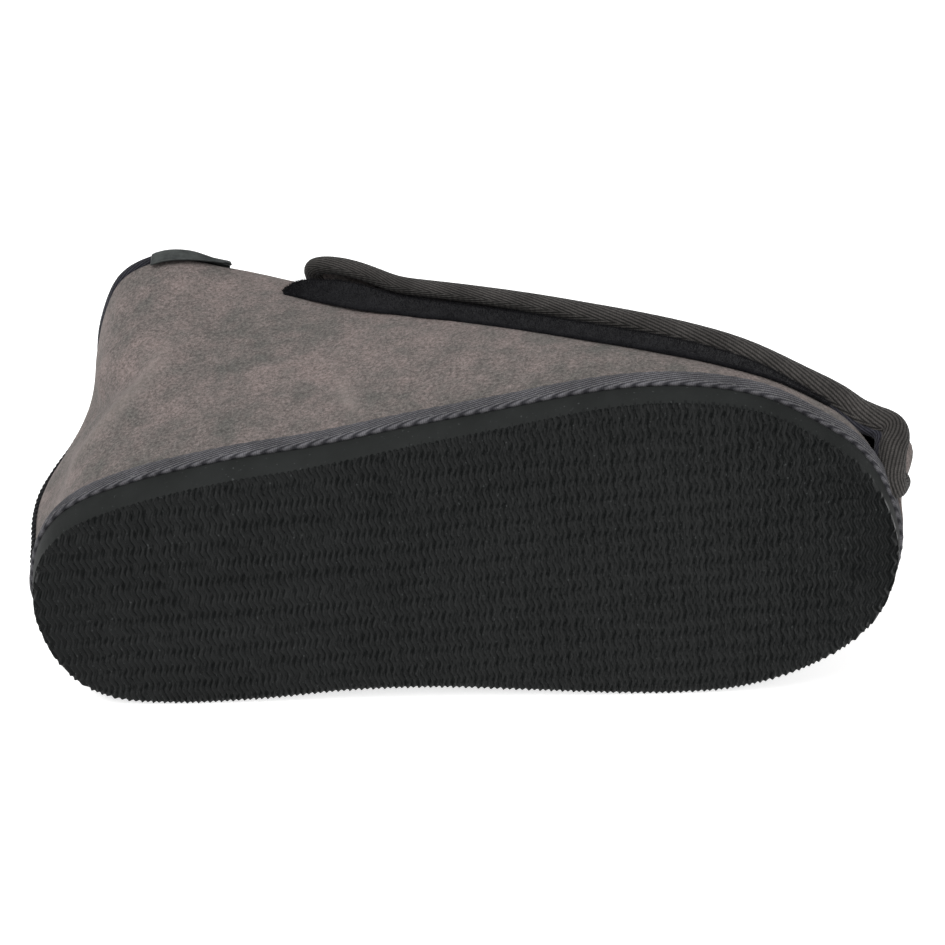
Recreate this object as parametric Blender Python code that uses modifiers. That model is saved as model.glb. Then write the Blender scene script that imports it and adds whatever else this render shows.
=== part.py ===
"""Ankle slipper boot for the right foot, lying on its medial side.

The shoe is designed in its own frame: +x from heel to toe, +y towards the medial side,
+z up from the tread. One skin function gives the outer face of the upper. Each layer is a
patch of that skin, thickened with Solidify, and the tapes and cords follow its edges.
An empty carries all pieces and lays the finished shoe down on its stable side.
"""
import math

import bmesh
import bpy
import numpy as np
from mathutils import Matrix, Vector

MM = 0.001

# Driving sizes
SOLE_LENGTH = 286.0 * MM
BALL_WIDTH = 121.0 * MM
SHAFT_HEIGHT = 138.0 * MM
SOLE_AT_HEEL = 12.0 * MM
SOLE_AT_TOE = 7.5 * MM
SOLE_FLARE = 1.2 * MM
SOLE_EDGE_ROUND = 1.0 * MM
WALL = 3.0 * MM
SEAM_INSET = 1.0 * MM
SEAM_INSET_MEDIAL = 2.7 * MM
INSOLE_THICK = 4.0 * MM
FLAP_THICK = 3.5 * MM
FLAP_STAND_OFF = 3.0 * MM
TIP_STAND_OFF = 4.6 * MM
TOE_STAND_OFF = 4.5 * MM
FLAP_TAPE_RADIUS = 3.2 * MM
COLLAR_TAPE_RADIUS = 2.3 * MM
SOLE_TAPE_THICK = 2.0 * MM
SOLE_TAPE_HEIGHT = 7.2 * MM
PILE_STRIP_THICK = 1.8 * MM
SEAM_CORD_RADIUS = 1.1 * MM
LABEL_THICK = 1.3 * MM
LABEL_DROP = 7.0 * MM
HEEL_SWELL = 8.5 * MM
TOE_SWELL = 3.0 * MM
GAP = 0.3 * MM
FLAP_GAP = 0.7 * MM

# Grid counts
RIBS_PER_SIDE = 40
UPPER_ROWS = 12
FLAP_ROWS = 7
STRIP_ROWS = 10

# Tread outline: share of SOLE_LENGTH, then lateral and medial half width as shares of BALL_WIDTH
OUTLINE = [
    # along, lateral, medial
    (0.000, 0.000, 0.000),
    (0.012, 0.148, 0.165),
    (0.035, 0.238, 0.258),
    (0.070, 0.302, 0.316),
    (0.140, 0.360, 0.350),
    (0.250, 0.411, 0.358),
    (0.350, 0.437, 0.350),
    (0.455, 0.478, 0.362),
    (0.560, 0.514, 0.396),
    (0.665, 0.550, 0.431),
    (0.735, 0.556, 0.446),
    (0.800, 0.537, 0.445),
    (0.860, 0.489, 0.416),
    (0.915, 0.398, 0.358),
    (0.955, 0.310, 0.285),
    (0.982, 0.193, 0.193),
    (1.000, 0.000, 0.000),
]

# Collar rim: rib number (0 heel centre, 1 toe centre), then shares of SOLE_LENGTH,
# BALL_WIDTH (lateral, medial) and SHAFT_HEIGHT
RIM = [
    # rib, along, lateral, medial, height
    (0.000, 0.028, 0.000, 0.000, 0.900),
    (0.045, 0.031, 0.124, 0.120, 0.913),
    (0.090, 0.044, 0.248, 0.223, 0.942),
    (0.130, 0.070, 0.355, 0.314, 0.975),
    (0.190, 0.129, 0.413, 0.372, 1.000),
    (0.275, 0.213, 0.380, 0.364, 0.987),
    (0.350, 0.290, 0.325, 0.331, 0.960),
    (0.410, 0.343, 0.215, 0.223, 0.948),
    (0.450, 0.360, 0.000, 0.000, 0.945),
]

# Crest over the instep, from the collar's front to the toe: shares of SOLE_LENGTH,
# BALL_WIDTH (lean to the lateral side) and SHAFT_HEIGHT, then the rib's squareness
CREST = [
    # rib, along, lean, height, square
    (0.450, 0.360, 0.000, 0.945, 2.9),
    (0.550, 0.490, 0.025, 0.788, 2.7),
    (0.650, 0.622, 0.040, 0.632, 2.4),
    (0.750, 0.752, 0.040, 0.490, 2.3),
    (0.850, 0.864, 0.030, 0.370, 2.3),
    (0.930, 0.932, 0.015, 0.305, 2.4),
    (1.000, 0.962, 0.000, 0.280, 2.5),
]

# How a rib swells out beyond the straight wall: share of the swell sizes
SWELL = [
    # rib, heel share lateral, heel share medial, toe share
    (0.00, 1.00, 1.00, 0.00),
    (0.05, -0.12, 0.60, 0.00),
    (0.10, -0.28, 0.30, 0.00),
    (0.20, -0.07, 0.10, 0.00),
    (0.32, 0.00, 0.00, 0.00),
    (0.45, 0.00, 0.00, 0.00),
    (0.80, 0.00, 0.00, 0.10),
    (0.92, 0.00, 0.00, 0.80),
    (1.00, 0.00, 0.00, 1.00),
]

# Power that lowers the heel's fullest point: 1 puts it halfway up, smaller is lower
HEEL_SWELL_LOW = 0.80

# Edges on the skin, as rib numbers and heights on the rib (0 sole, 1 rim or crest)
RIM_END = 0.450
ROUND_FROM = 0.160
PANEL_CORNER = 0.400
THROAT_START = 0.470
THROAT_HEIGHT = 0.880
THROAT_CLOSING = 0.780
THROAT_END = 0.860

FLAP_LATERAL_START = 0.375
FLAP_MEDIAL_START = 0.400

# Where the flap's lateral side stands off the skin: spans of rib numbers, then of heights
TIP_FADES = (0.375, 0.440)
TOE_GROWS = (0.880, 0.930)
TOE_FADES = (0.940, 1.000)
LOW_FADES = (0.120, 0.400)
LAST_EDGE = 0.860
STAND_OFF_CURVE = 1.3

# Where the seam inset of the medial side begins and ends
MEDIAL_GROWS = (0.030, 0.120)
MEDIAL_FADES = (0.880, 0.970)

# Steps along the skin for its directions, and the cells between two rows of the outline
SKIN_STEP = 0.004
CELL_POINTS = 24

# Free edge of the flap on the lateral side, and its sewn edge on the medial side
FLAP_EDGES = [
    # rib, lateral height, medial height
    (0.375, 0.930, 0.900),
    (0.400, 0.820, 0.700),
    (0.430, 0.720, 0.560),
    (0.500, 0.620, 0.480),
    (0.600, 0.560, 0.440),
    (0.750, 0.530, 0.400),
    (0.860, 0.520, 0.300),
    (0.900, 0.480, 0.160),
    (0.925, 0.340, 0.100),
    (0.950, 0.000, 0.000),
    (1.000, 0.000, 0.000),
]

FLAP_TAPE_END = 0.942
FLAP_TAPE_RISE = 0.060
LEAST_MITRE = 0.62

# Pile strip on the lateral panel: its lower and upper edge
PILE_STRIP = [
    # rib, lower height, upper height
    (0.330, 0.690, 0.710),
    (0.345, 0.630, 0.800),
    (0.370, 0.520, 0.880),
    (0.400, 0.410, 0.850),
    (0.445, 0.330, 0.750),
    (0.500, 0.305, 0.660),
    (0.570, 0.260, 0.600),
    (0.640, 0.205, 0.585),
    (0.710, 0.150, 0.565),
    (0.780, 0.140, 0.560),
    (0.860, 0.260, 0.550),
]

LABEL_SPAN = (0.180, 0.280)
COLLAR_TAPE_SPAN = (-0.345, 0.325)
CORD_SPAN = (0.095, 0.985)


def table(rows, column, at):
    """Smooth value of one table column at the given places in its first column."""
    knots = np.array([row[0] for row in rows])
    values = np.array([row[column] for row in rows])
    slopes = np.gradient(values, knots)
    at = np.clip(np.asarray(at, dtype=float), knots[0], knots[-1])
    cell = np.clip(np.searchsorted(knots, at, side="right") - 1, 0, len(knots) - 2)
    span = knots[cell + 1] - knots[cell]
    t = (at - knots[cell]) / span
    start = values[cell] * (1 + 2 * t) * (1 - t) ** 2 + slopes[cell] * span * t * (1 - t) ** 2
    end = values[cell + 1] * t * t * (3 - 2 * t) - slopes[cell + 1] * span * t * t * (1 - t)
    return start + end


def smooth_step(low, high, at):
    """0 below low, 1 above high, with a soft start and end."""
    t = np.clip((np.asarray(at, dtype=float) - low) / (high - low), 0.0, 1.0)
    return t * t * (3 - 2 * t)


def outline_loop():
    """Dense closed tread outline, heel centre first, with the index of the toe centre."""
    lateral = [(along * SOLE_LENGTH, -out * BALL_WIDTH) for along, out, _ in OUTLINE]
    medial = [(along * SOLE_LENGTH, out * BALL_WIDTH) for along, _, out in OUTLINE]
    loop = np.array(lateral + medial[-2:0:-1])
    count = len(loop)
    points = []
    for i in range(count):
        before, here, after, later = (loop[(i + k) % count] for k in (-1, 0, 1, 2))
        gaps = [np.linalg.norm(b - a) ** 0.5 for a, b in ((before, here), (here, after), (after, later))]
        out = (here - before) / gaps[0] - (after - before) / (gaps[0] + gaps[1]) + (after - here) / gaps[1]
        into = (after - here) / gaps[1] - (later - here) / (gaps[1] + gaps[2]) + (later - after) / gaps[2]
        for k in range(CELL_POINTS):
            t = k / CELL_POINTS
            value = here * (1 + 2 * t) * (1 - t) ** 2 + after * t * t * (3 - 2 * t)
            value = value + out * gaps[1] * t * (1 - t) ** 2 - into * gaps[1] * t * t * (1 - t)
            points.append(value)
    return np.array(points), (len(OUTLINE) - 1) * CELL_POINTS


def side_lines():
    """Outline of the lateral and the medial side, each with its running length as 0 to 1."""
    loop, toe = outline_loop()
    closed = np.vstack([loop, loop[:1]])
    lines = {}
    for name, line in (("lateral", closed[:toe + 1]), ("medial", closed[toe:][::-1])):
        run = np.concatenate([[0.0], np.cumsum(np.linalg.norm(np.diff(line, axis=0), axis=1))])
        lines[name] = (run / run[-1], line)
    return lines


SIDES = side_lines()


def outline_at(rib, grow):
    """Point of the tread outline at signed rib numbers (minus is lateral), grown outwards."""
    rib = np.asarray(rib, dtype=float)

    def raw(number):
        point = np.empty(number.shape + (2,))
        for sign, name in ((-1, "lateral"), (1, "medial")):
            run, line = SIDES[name]
            part = (number < 0) if sign < 0 else (number >= 0)
            for axis in (0, 1):
                point[part, axis] = np.interp(np.abs(number[part]), run, line[:, axis])
        return point

    ahead = wrapped(rib + SKIN_STEP)
    behind = wrapped(rib - SKIN_STEP)
    along = raw(ahead) - raw(behind)
    normal = np.stack([-along[..., 1], along[..., 0]], axis=-1)
    normal /= np.linalg.norm(normal, axis=-1, keepdims=True)
    return raw(rib) + normal * np.asarray(grow)[..., None], normal


def wrapped(rib):
    """Signed rib number kept between -1 and 1 across the toe."""
    return (np.asarray(rib, dtype=float) + 1.0) % 2.0 - 1.0


def sole_top(x):
    """Height of the foam sole's flat top at a distance from the heel."""
    return SOLE_AT_HEEL + (SOLE_AT_TOE - SOLE_AT_HEEL) * x / SOLE_LENGTH


def seam_inset(rib):
    """How far the upper's foot stands inside the foam sole's edge; more on the side it lies on."""
    number = np.abs(rib)
    medial = smooth_step(*MEDIAL_GROWS, number) * (1.0 - smooth_step(*MEDIAL_FADES, number))
    return SEAM_INSET + (SEAM_INSET_MEDIAL - SEAM_INSET) * np.where(rib > 0, medial, 0.0)


def top_line(rib):
    """Rim point, or crest point in front of the collar, at signed rib numbers."""
    number = np.abs(rib)
    side = np.where(rib < 0, -1.0, 1.0)
    width = np.where(rib < 0, table(RIM, 2, number), table(RIM, 3, number))
    on_rim = number < RIM_END
    x = np.where(on_rim, table(RIM, 1, number), table(CREST, 1, number)) * SOLE_LENGTH
    y = np.where(on_rim, side * width, -table(CREST, 2, number)) * BALL_WIDTH
    z = np.where(on_rim, table(RIM, 4, number), table(CREST, 3, number)) * SHAFT_HEIGHT
    return np.stack([x, y, z], axis=-1)


def skin(rib, height):
    """Outer face of the upper at signed rib numbers and heights from 0 (sole) to 1 (rim, crest)."""
    rib, height = np.broadcast_arrays(np.asarray(rib, dtype=float), np.asarray(height, dtype=float))
    number = np.abs(rib)
    foot, outwards = outline_at(rib, SOLE_FLARE - seam_inset(rib))
    top = top_line(rib)
    floor = sole_top(foot[..., 0]) + GAP
    power = 2.0 / table(CREST, 4, number)
    round_share = smooth_step(ROUND_FROM, RIM_END, number)
    angle = np.clip(height, 0.0, 1.0) * math.pi / 2
    over = round_share * (1 - np.cos(angle) ** power) + (1 - round_share) * height
    up = round_share * np.sin(angle) ** power + (1 - round_share) * height
    heel_share = np.where(rib < 0, table(SWELL, 1, number), table(SWELL, 2, number))
    swell = HEEL_SWELL * heel_share * np.sin(math.pi * np.clip(height, 0, 1) ** HEEL_SWELL_LOW)
    swell = swell + TOE_SWELL * table(SWELL, 3, number) * np.sin(math.pi * np.clip(height, 0, 1))
    flat = foot + (top[..., :2] - foot) * over[..., None] + outwards * swell[..., None]
    return np.concatenate([flat, (floor + (top[..., 2] - floor) * up)[..., None]], axis=-1)


def skin_normal(rib, height):
    """Unit normal of the skin, pointing out of the shoe."""
    rib, height = np.broadcast_arrays(np.asarray(rib, dtype=float), np.asarray(height, dtype=float))
    along = skin(wrapped(rib + SKIN_STEP), height) - skin(wrapped(rib - SKIN_STEP), height)
    up = skin(rib, np.minimum(height + SKIN_STEP, 1.0)) - skin(rib, np.maximum(height - SKIN_STEP, 0.0))
    normal = np.cross(up, along)
    return normal / np.linalg.norm(normal, axis=-1, keepdims=True)


def new_collection(name):
    """Collection of that name, linked to the scene."""
    collection = bpy.data.collections.new(name)
    bpy.context.scene.collection.children.link(collection)
    return collection


def material(name, color, roughness):
    """Plain Principled material."""
    made = bpy.data.materials.new(name)
    made.use_nodes = True
    shader = made.node_tree.nodes["Principled BSDF"]
    shader.inputs["Base Color"].default_value = (*color, 1.0)
    shader.inputs["Roughness"].default_value = roughness
    shader.inputs["Metallic"].default_value = 0.0
    return made


def add_object(name, data, finish, carrier, collection):
    """Object with its material, carried by the shoe's empty."""
    made = bpy.data.objects.new(name, data)
    made.data.materials.append(finish)
    made.parent = carrier
    collection.objects.link(made)
    return made


def grid_mesh(name, columns, closed=False):
    """Open surface through columns of points, with equal points merged into one."""
    bm = bmesh.new()
    made = [[bm.verts.new(point) for point in column] for column in columns]
    pairs = list(zip(made, made[1:]))
    if closed:
        pairs.append((made[-1], made[0]))
    for left, right in pairs:
        for k in range(len(left) - 1):
            bm.faces.new((left[k], right[k], right[k + 1], left[k + 1]))
    bmesh.ops.remove_doubles(bm, verts=bm.verts, dist=0.00002)
    bmesh.ops.recalc_face_normals(bm, faces=bm.faces)
    mesh = bpy.data.meshes.new(name)
    bm.to_mesh(mesh)
    bm.free()
    mesh.shade_smooth()
    return mesh


def face_outwards(mesh, rib, height):
    """Flip the surface if its face nearest a skin point looks into the shoe."""
    point = Vector(skin(rib, height))
    outward = Vector(skin_normal(rib, height))
    nearest = min(mesh.polygons, key=lambda face: (face.center - point).length)
    if nearest.normal.dot(outward) < 0:
        mesh.flip_normals()


def solidify(target, thickness, offset):
    """Give an open surface its thickness, inwards for offset -1 and outwards for 1."""
    shell = target.modifiers.new("wall", "SOLIDIFY")
    shell.thickness = thickness
    shell.offset = offset
    shell.use_even_offset = True
    shell.use_quality_normals = True
    return shell


def loft_mesh(name, rings, closed=False):
    """Closed solid through rings of points, with flat ends unless the rings close on themselves."""
    bm = bmesh.new()
    made = [[bm.verts.new(point) for point in ring] for ring in rings]
    pairs = list(zip(made, made[1:]))
    if closed:
        pairs.append((made[-1], made[0]))
    count = len(made[0])
    for left, right in pairs:
        for k in range(count):
            after = (k + 1) % count
            bm.faces.new((left[k], left[after], right[after], right[k]))
    if not closed:
        bm.faces.new(made[0][::-1])
        bm.faces.new(made[-1])
    bmesh.ops.recalc_face_normals(bm, faces=bm.faces)
    mesh = bpy.data.meshes.new(name)
    bm.to_mesh(mesh)
    bm.free()
    mesh.shade_smooth()
    mesh.set_sharp_from_angle(angle=math.radians(40))
    return mesh


def tube(name, points, radius, sides):
    """Round cord along points, with filled ends."""
    curve = bpy.data.curves.new(name, "CURVE")
    curve.dimensions = "3D"
    spline = curve.splines.new("POLY")
    spline.points.add(len(points) - 1)
    for target, point in zip(spline.points, points):
        target.co = (*point, 1.0)
    curve.bevel_depth = radius
    curve.bevel_resolution = sides // 2 - 2
    curve.use_fill_caps = True
    return curve


def all_ribs():
    """Signed rib numbers once round the shoe, from the toe over the lateral side and the heel."""
    return np.arange(2 * RIBS_PER_SIDE) / RIBS_PER_SIDE - 1.0


def make_outsole():
    """Foam sole: flat tread, side flared a little, flat top that thins towards the toe."""
    ribs = all_ribs()
    levels = [(0.0, -SOLE_EDGE_ROUND), (SOLE_EDGE_ROUND, 0.0), (None, SOLE_FLARE)]
    rings = []
    for level, grow in levels:
        flat, _ = outline_at(ribs, np.full(ribs.shape, grow))
        z = sole_top(flat[:, 0]) if level is None else np.full(len(ribs), level)
        rings.append(np.column_stack([flat, z]))
    return loft_mesh("outsole", rings)


def make_insole():
    """Flat lining sole inside the upper."""
    ribs = all_ribs()
    inset = SOLE_FLARE - seam_inset(ribs) - WALL - 3 * GAP
    rings = []
    for rise in (GAP, GAP + INSOLE_THICK):
        flat, _ = outline_at(ribs, inset)
        rings.append(np.column_stack([flat, sole_top(flat[:, 0]) + rise]))
    return loft_mesh("insole", rings)


def upper_top(rib):
    """Height on the rib where the upper ends: the rim, then the throat under the flap."""
    number = np.abs(rib)
    dip = smooth_step(PANEL_CORNER, THROAT_START, number) - smooth_step(THROAT_CLOSING, THROAT_END, number)
    return 1.0 - (1.0 - THROAT_HEIGHT) * dip


def make_upper():
    """Outer face of the hollow upper, open at collar and throat, and underneath."""
    ribs = all_ribs()
    share = np.linspace(0.0, 1.0, UPPER_ROWS + 1)
    columns = [skin(rib, share * upper_top(rib)) for rib in ribs]
    mesh = grid_mesh("upper", columns, closed=True)
    face_outwards(mesh, -0.3, 0.5)
    return mesh


def height_at(rib, climb):
    """Height on the rib that lies a given length up the skin from the sole."""
    fine = np.linspace(0.0, 1.0, 120)
    line = skin(np.full(fine.shape, rib), fine)
    run = np.concatenate([[0.0], np.cumsum(np.linalg.norm(np.diff(line, axis=0), axis=1))])
    return float(np.interp(climb, run, fine))


def flap_ribs():
    """Signed rib numbers of the flap, from its lateral top round the toe to its medial top."""
    ribs = np.arange(RIBS_PER_SIDE + 1) / RIBS_PER_SIDE
    lateral = ribs[ribs > FLAP_LATERAL_START - 0.5 / RIBS_PER_SIDE]
    medial = ribs[ribs > FLAP_MEDIAL_START - 0.5 / RIBS_PER_SIDE][::-1]
    return np.concatenate([-lateral, medial[1:]])


def flap_low(rib):
    """Height on the rib where the flap ends, above the tape at the sole."""
    column = 1 if rib < 0 else 2
    return max(float(table(FLAP_EDGES, column, abs(rib))), height_at(rib, SOLE_TAPE_HEIGHT + 3 * GAP))


def flap_lift(rib, height):
    """Distance from the skin to the flap's inner face: it stands off towards its free edge."""
    number = np.abs(rib)
    edge = table(FLAP_EDGES, 1, np.minimum(number, LAST_EDGE))
    across = np.clip((1.0 - height) / (1.0 - edge), 0.0, 1.0)
    size = FLAP_STAND_OFF + TOE_STAND_OFF * smooth_step(*TOE_GROWS, number)
    size = size + TIP_STAND_OFF * (1.0 - smooth_step(*TIP_FADES, number))
    fade = (1.0 - smooth_step(*TOE_FADES, number)) * smooth_step(*LOW_FADES, height)
    lateral = np.where(rib < 0, 1.0, 0.0)
    return FLAP_GAP + size * across ** STAND_OFF_CURVE * fade * lateral


def flap_point(rib, height, rise=0.0):
    """Point above the flap's inner face by rise."""
    lift = flap_lift(rib, height) + rise
    return skin(rib, height) + skin_normal(rib, height) * lift[..., None]


def make_flap():
    """Inner face of the closing flap, over instep and toe."""
    columns = []
    for rib in flap_ribs():
        rows = np.linspace(flap_low(rib), 1.0, FLAP_ROWS + 1)
        columns.append(flap_point(np.full(rows.shape, rib), rows))
    # The crest belongs to both sides, so both take the same point there
    for rib, column in zip(flap_ribs(), columns):
        if abs(rib) > RIM_END - 0.001:
            column[-1] = skin(abs(rib), 1.0) + np.array([0.0, 0.0, FLAP_GAP])
    mesh = grid_mesh("flap", columns)
    face_outwards(mesh, -0.7, 0.9)
    return mesh


def flap_edge_path():
    """Signed rib numbers and heights along the flap's bound edge, from the medial top to the toe."""
    ribs = flap_ribs()
    on_top = np.abs(ribs) < RIM_END + 0.001
    medial = ribs[on_top & (ribs > 0)][::-1]
    lateral = ribs[on_top & (ribs < 0)][::-1]
    places = [(rib, 1.0) for rib in medial[:-1]] + [(rib, 1.0) for rib in lateral]
    free = ribs[(ribs < 0) & (ribs > -FLAP_TAPE_END)]
    places += [(rib, flap_low(rib)) for rib in free]
    places.append((-FLAP_TAPE_END, flap_low(-FLAP_TAPE_END) + FLAP_TAPE_RISE))
    return np.array([place[0] for place in places]), np.array([place[1] for place in places])


def beside_edge(points, normals, distance):
    """Path beside an edge, moved along the surface away from the piece, mitred at its corners."""
    runs = np.diff(points, axis=0)
    sideways = np.cross(runs, 0.5 * (normals[:-1] + normals[1:]))
    sideways /= np.linalg.norm(sideways, axis=1, keepdims=True)
    before = np.vstack([sideways[:1], sideways])
    after = np.vstack([sideways, sideways[-1:]])
    away = before + after
    away /= np.linalg.norm(away, axis=1, keepdims=True)
    mitre = 1.0 / np.maximum(np.sum(away * before, axis=1), LEAST_MITRE)
    return points + away * (distance * mitre)[:, None]


def make_flap_tape():
    """Rolled tape along the flap's top and free edge."""
    ribs, heights = flap_edge_path()
    middle = flap_point(ribs, heights, FLAP_THICK / 2)
    normals = skin_normal(ribs, np.minimum(heights, 0.97))
    path = beside_edge(middle, normals, FLAP_TAPE_RADIUS + 2 * GAP)
    return tube("flap_tape", path, FLAP_TAPE_RADIUS, 10)


def rim_frame(ribs):
    """Outward and upward unit directions of the upper's last row at the rim."""
    up = skin(ribs, 1.0) - skin(ribs, 1.0 - 1.0 / UPPER_ROWS)
    up /= np.linalg.norm(up, axis=-1, keepdims=True)
    along = skin(ribs + SKIN_STEP, 1.0) - skin(ribs - SKIN_STEP, 1.0)
    outward = np.cross(up, along)
    return outward / np.linalg.norm(outward, axis=-1, keepdims=True), up


def make_collar_tape():
    """Rolled tape along the collar's rim, from front corner to front corner."""
    ribs = np.linspace(*COLLAR_TAPE_SPAN, 57)
    outward, up = rim_frame(ribs)
    path = skin(ribs, 1.0) - outward * WALL / 2 + up * (COLLAR_TAPE_RADIUS + 2 * GAP)
    return tube("collar_tape", path, COLLAR_TAPE_RADIUS, 8)


def make_sole_tape():
    """Tape round the foot of the upper, standing on the foam sole."""
    ribs = all_ribs()
    rings = []
    levels = [(0.0, GAP), (1.0, GAP), (1.0, 0.5), (0.7, 1.0), (0.25, 1.0), (0.0, 0.8)]
    for rib in ribs:
        ring = []
        for share, out in levels:
            height = height_at(rib, share * SOLE_TAPE_HEIGHT)
            distance = GAP if out == GAP else GAP + out * SOLE_TAPE_THICK
            normal = skin_normal(rib, max(height, 0.01))
            normal[2] = 0.0 if share == 0.0 else normal[2]
            ring.append(skin(rib, height) + normal / np.linalg.norm(normal) * distance)
        rings.append(ring)
    return loft_mesh("sole_tape", rings, closed=True)


def make_pile_strip():
    """Inner face of the pile strip on the lateral panel, under the flap's free edge."""
    ribs = -np.linspace(PILE_STRIP[0][0], PILE_STRIP[-1][0], 30)
    columns = []
    for rib in ribs:
        rows = np.linspace(table(PILE_STRIP, 1, -rib), table(PILE_STRIP, 2, -rib), STRIP_ROWS + 1)
        ribs_here = np.full(rows.shape, rib)
        columns.append(skin(ribs_here, rows) + skin_normal(ribs_here, rows) * GAP)
    mesh = grid_mesh("pile_strip", columns)
    face_outwards(mesh, -0.6, 0.55)
    return mesh


def make_label():
    """Blank leather label folded over the collar's tape."""
    outside = COLLAR_TAPE_RADIUS - WALL / 2 + 3 * GAP
    inside = outside + WALL + 4 * GAP
    over = 2 * COLLAR_TAPE_RADIUS + 4 * GAP
    rings = []
    for rib in -np.linspace(*LABEL_SPAN, 17):
        top = skin(rib, 1.0)
        outward, up = rim_frame(rib)
        inner = [(outside, -LABEL_DROP), (outside, over - 1.5 * MM), (outside - 1.5 * MM, over)]
        inner += [(1.5 * MM - inside, over), (-inside, over - 1.5 * MM), (-inside, -LABEL_DROP)]
        t = LABEL_THICK
        outer = [(-inside - t, -LABEL_DROP), (-inside - t, over - 1.0 * MM), (-inside + 1.0 * MM, over + t)]
        outer += [(outside - 1.0 * MM, over + t), (outside + t, over - 1.0 * MM), (outside + t, -LABEL_DROP)]
        rings.append([top + outward * a + up * b for a, b in inner + outer])
    return loft_mesh("label", rings)


def make_back_cord():
    """Overlocked seam up the middle of the heel."""
    heights = np.linspace(*CORD_SPAN, 26)
    ribs = np.zeros(heights.shape)
    path = skin(ribs, heights) + skin_normal(ribs, heights) * (SEAM_CORD_RADIUS + GAP)
    return tube("back_cord", path, SEAM_CORD_RADIUS, 8)


def resting_matrix(objects):
    """Turn that lays the shoe on its stable medial side, from the hull of all pieces."""
    graph = bpy.context.evaluated_depsgraph_get()
    bm = bmesh.new()
    weight = 0.0
    centre = Vector((0.0, 0.0, 0.0))
    for item in objects:
        shape = item.evaluated_get(graph).to_mesh()
        shape.calc_loop_triangles()
        for triangle in shape.loop_triangles:
            a, b, c = (shape.vertices[k].co for k in triangle.vertices)
            volume = a.dot(b.cross(c)) / 6
            centre += (a + b + c) / 4 * volume
            weight += volume
        for vertex in shape.vertices:
            bm.verts.new(vertex.co)
    centre /= weight
    bmesh.ops.convex_hull(bm, input=bm.verts, use_existing_faces=False)
    bm.normal_update()
    down = Vector((0.0, 1.0, 0.0))
    best = None
    for face in bm.faces:
        normal = face.normal
        if normal.dot(down) < 0.8:
            continue
        foot = centre + normal * normal.dot(face.verts[0].co - centre)
        corners = [vertex.co for vertex in face.verts]
        turns = [(b - a).cross(foot - a).dot(normal) for a, b in zip(corners, corners[1:] + corners[:1])]
        if min(turns) > 0 and (best is None or face.calc_area() > best.calc_area()):
            best = face
    floor_up = -best.normal
    ahead = Vector((1.0, 0.0, 0.0))
    ahead = (ahead - floor_up * ahead.dot(floor_up)).normalized()
    left = floor_up.cross(ahead)
    turn = Matrix((ahead, left, floor_up)).to_4x4()
    placed = np.array([turn @ vertex.co for vertex in bm.verts])
    bm.free()
    low, high = placed.min(axis=0), placed.max(axis=0)
    shift = Vector((-(low[0] + high[0]) / 2, -(low[1] + high[1]) / 2, -low[2]))
    return Matrix.Translation(shift) @ turn


def clear_scene():
    """Remove what the scene holds."""
    for old in list(bpy.data.objects):
        bpy.data.objects.remove(old, do_unlink=True)


def build():
    """Model the slipper boot and lay it down."""
    clear_scene()
    collection = new_collection("slipper_boot")
    carrier = bpy.data.objects.new("shoe_frame", None)
    collection.objects.link(carrier)
    suede = material("suede", (0.13, 0.11, 0.10), 0.95)
    foam = material("foam", (0.020, 0.021, 0.021), 0.75)
    felt = material("felt", (0.10, 0.09, 0.08), 1.0)
    twill = material("twill", (0.035, 0.035, 0.037), 0.9)
    pile = material("pile", (0.012, 0.012, 0.013), 1.0)
    leather = material("leather", (0.03, 0.03, 0.03), 0.45)
    pieces = {}
    for name, data, finish in (
        ("outsole", make_outsole(), foam),
        ("insole", make_insole(), felt),
        ("upper", make_upper(), suede),
        ("flap", make_flap(), suede),
        ("pile_strip", make_pile_strip(), pile),
        ("sole_tape", make_sole_tape(), twill),
        ("collar_tape", make_collar_tape(), twill),
        ("flap_tape", make_flap_tape(), twill),
        ("label", make_label(), leather),
        ("back_cord", make_back_cord(), twill),
    ):
        pieces[name] = add_object(name, data, finish, carrier, collection)
    solidify(pieces["upper"], WALL, -1.0)
    solidify(pieces["flap"], FLAP_THICK, 1.0)
    solidify(pieces["pile_strip"], PILE_STRIP_THICK, 1.0)
    carrier.matrix_world = resting_matrix(list(pieces.values()))


build()
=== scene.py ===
"""Looks of an ankle slipper boot that lies on its medial side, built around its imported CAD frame.

The shoe is worked out in its own frame, in metres: +x from heel to toe, +y to the medial side,
+z up from the tread. A place on the upper is a signed rib number, minus on the lateral side,
0 at the heel centre and 1 at the toe centre, and a height from 0 at the sole to 1 at the rim
or crest. Every finished mesh is then turned and moved to where the CAD frame lies.
"""

from __future__ import annotations

import logging
import math
from dataclasses import dataclass, field
from enum import Enum
from typing import Any, Callable

import bmesh
import bpy
import numpy as np
from mathutils import Matrix, Vector

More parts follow.
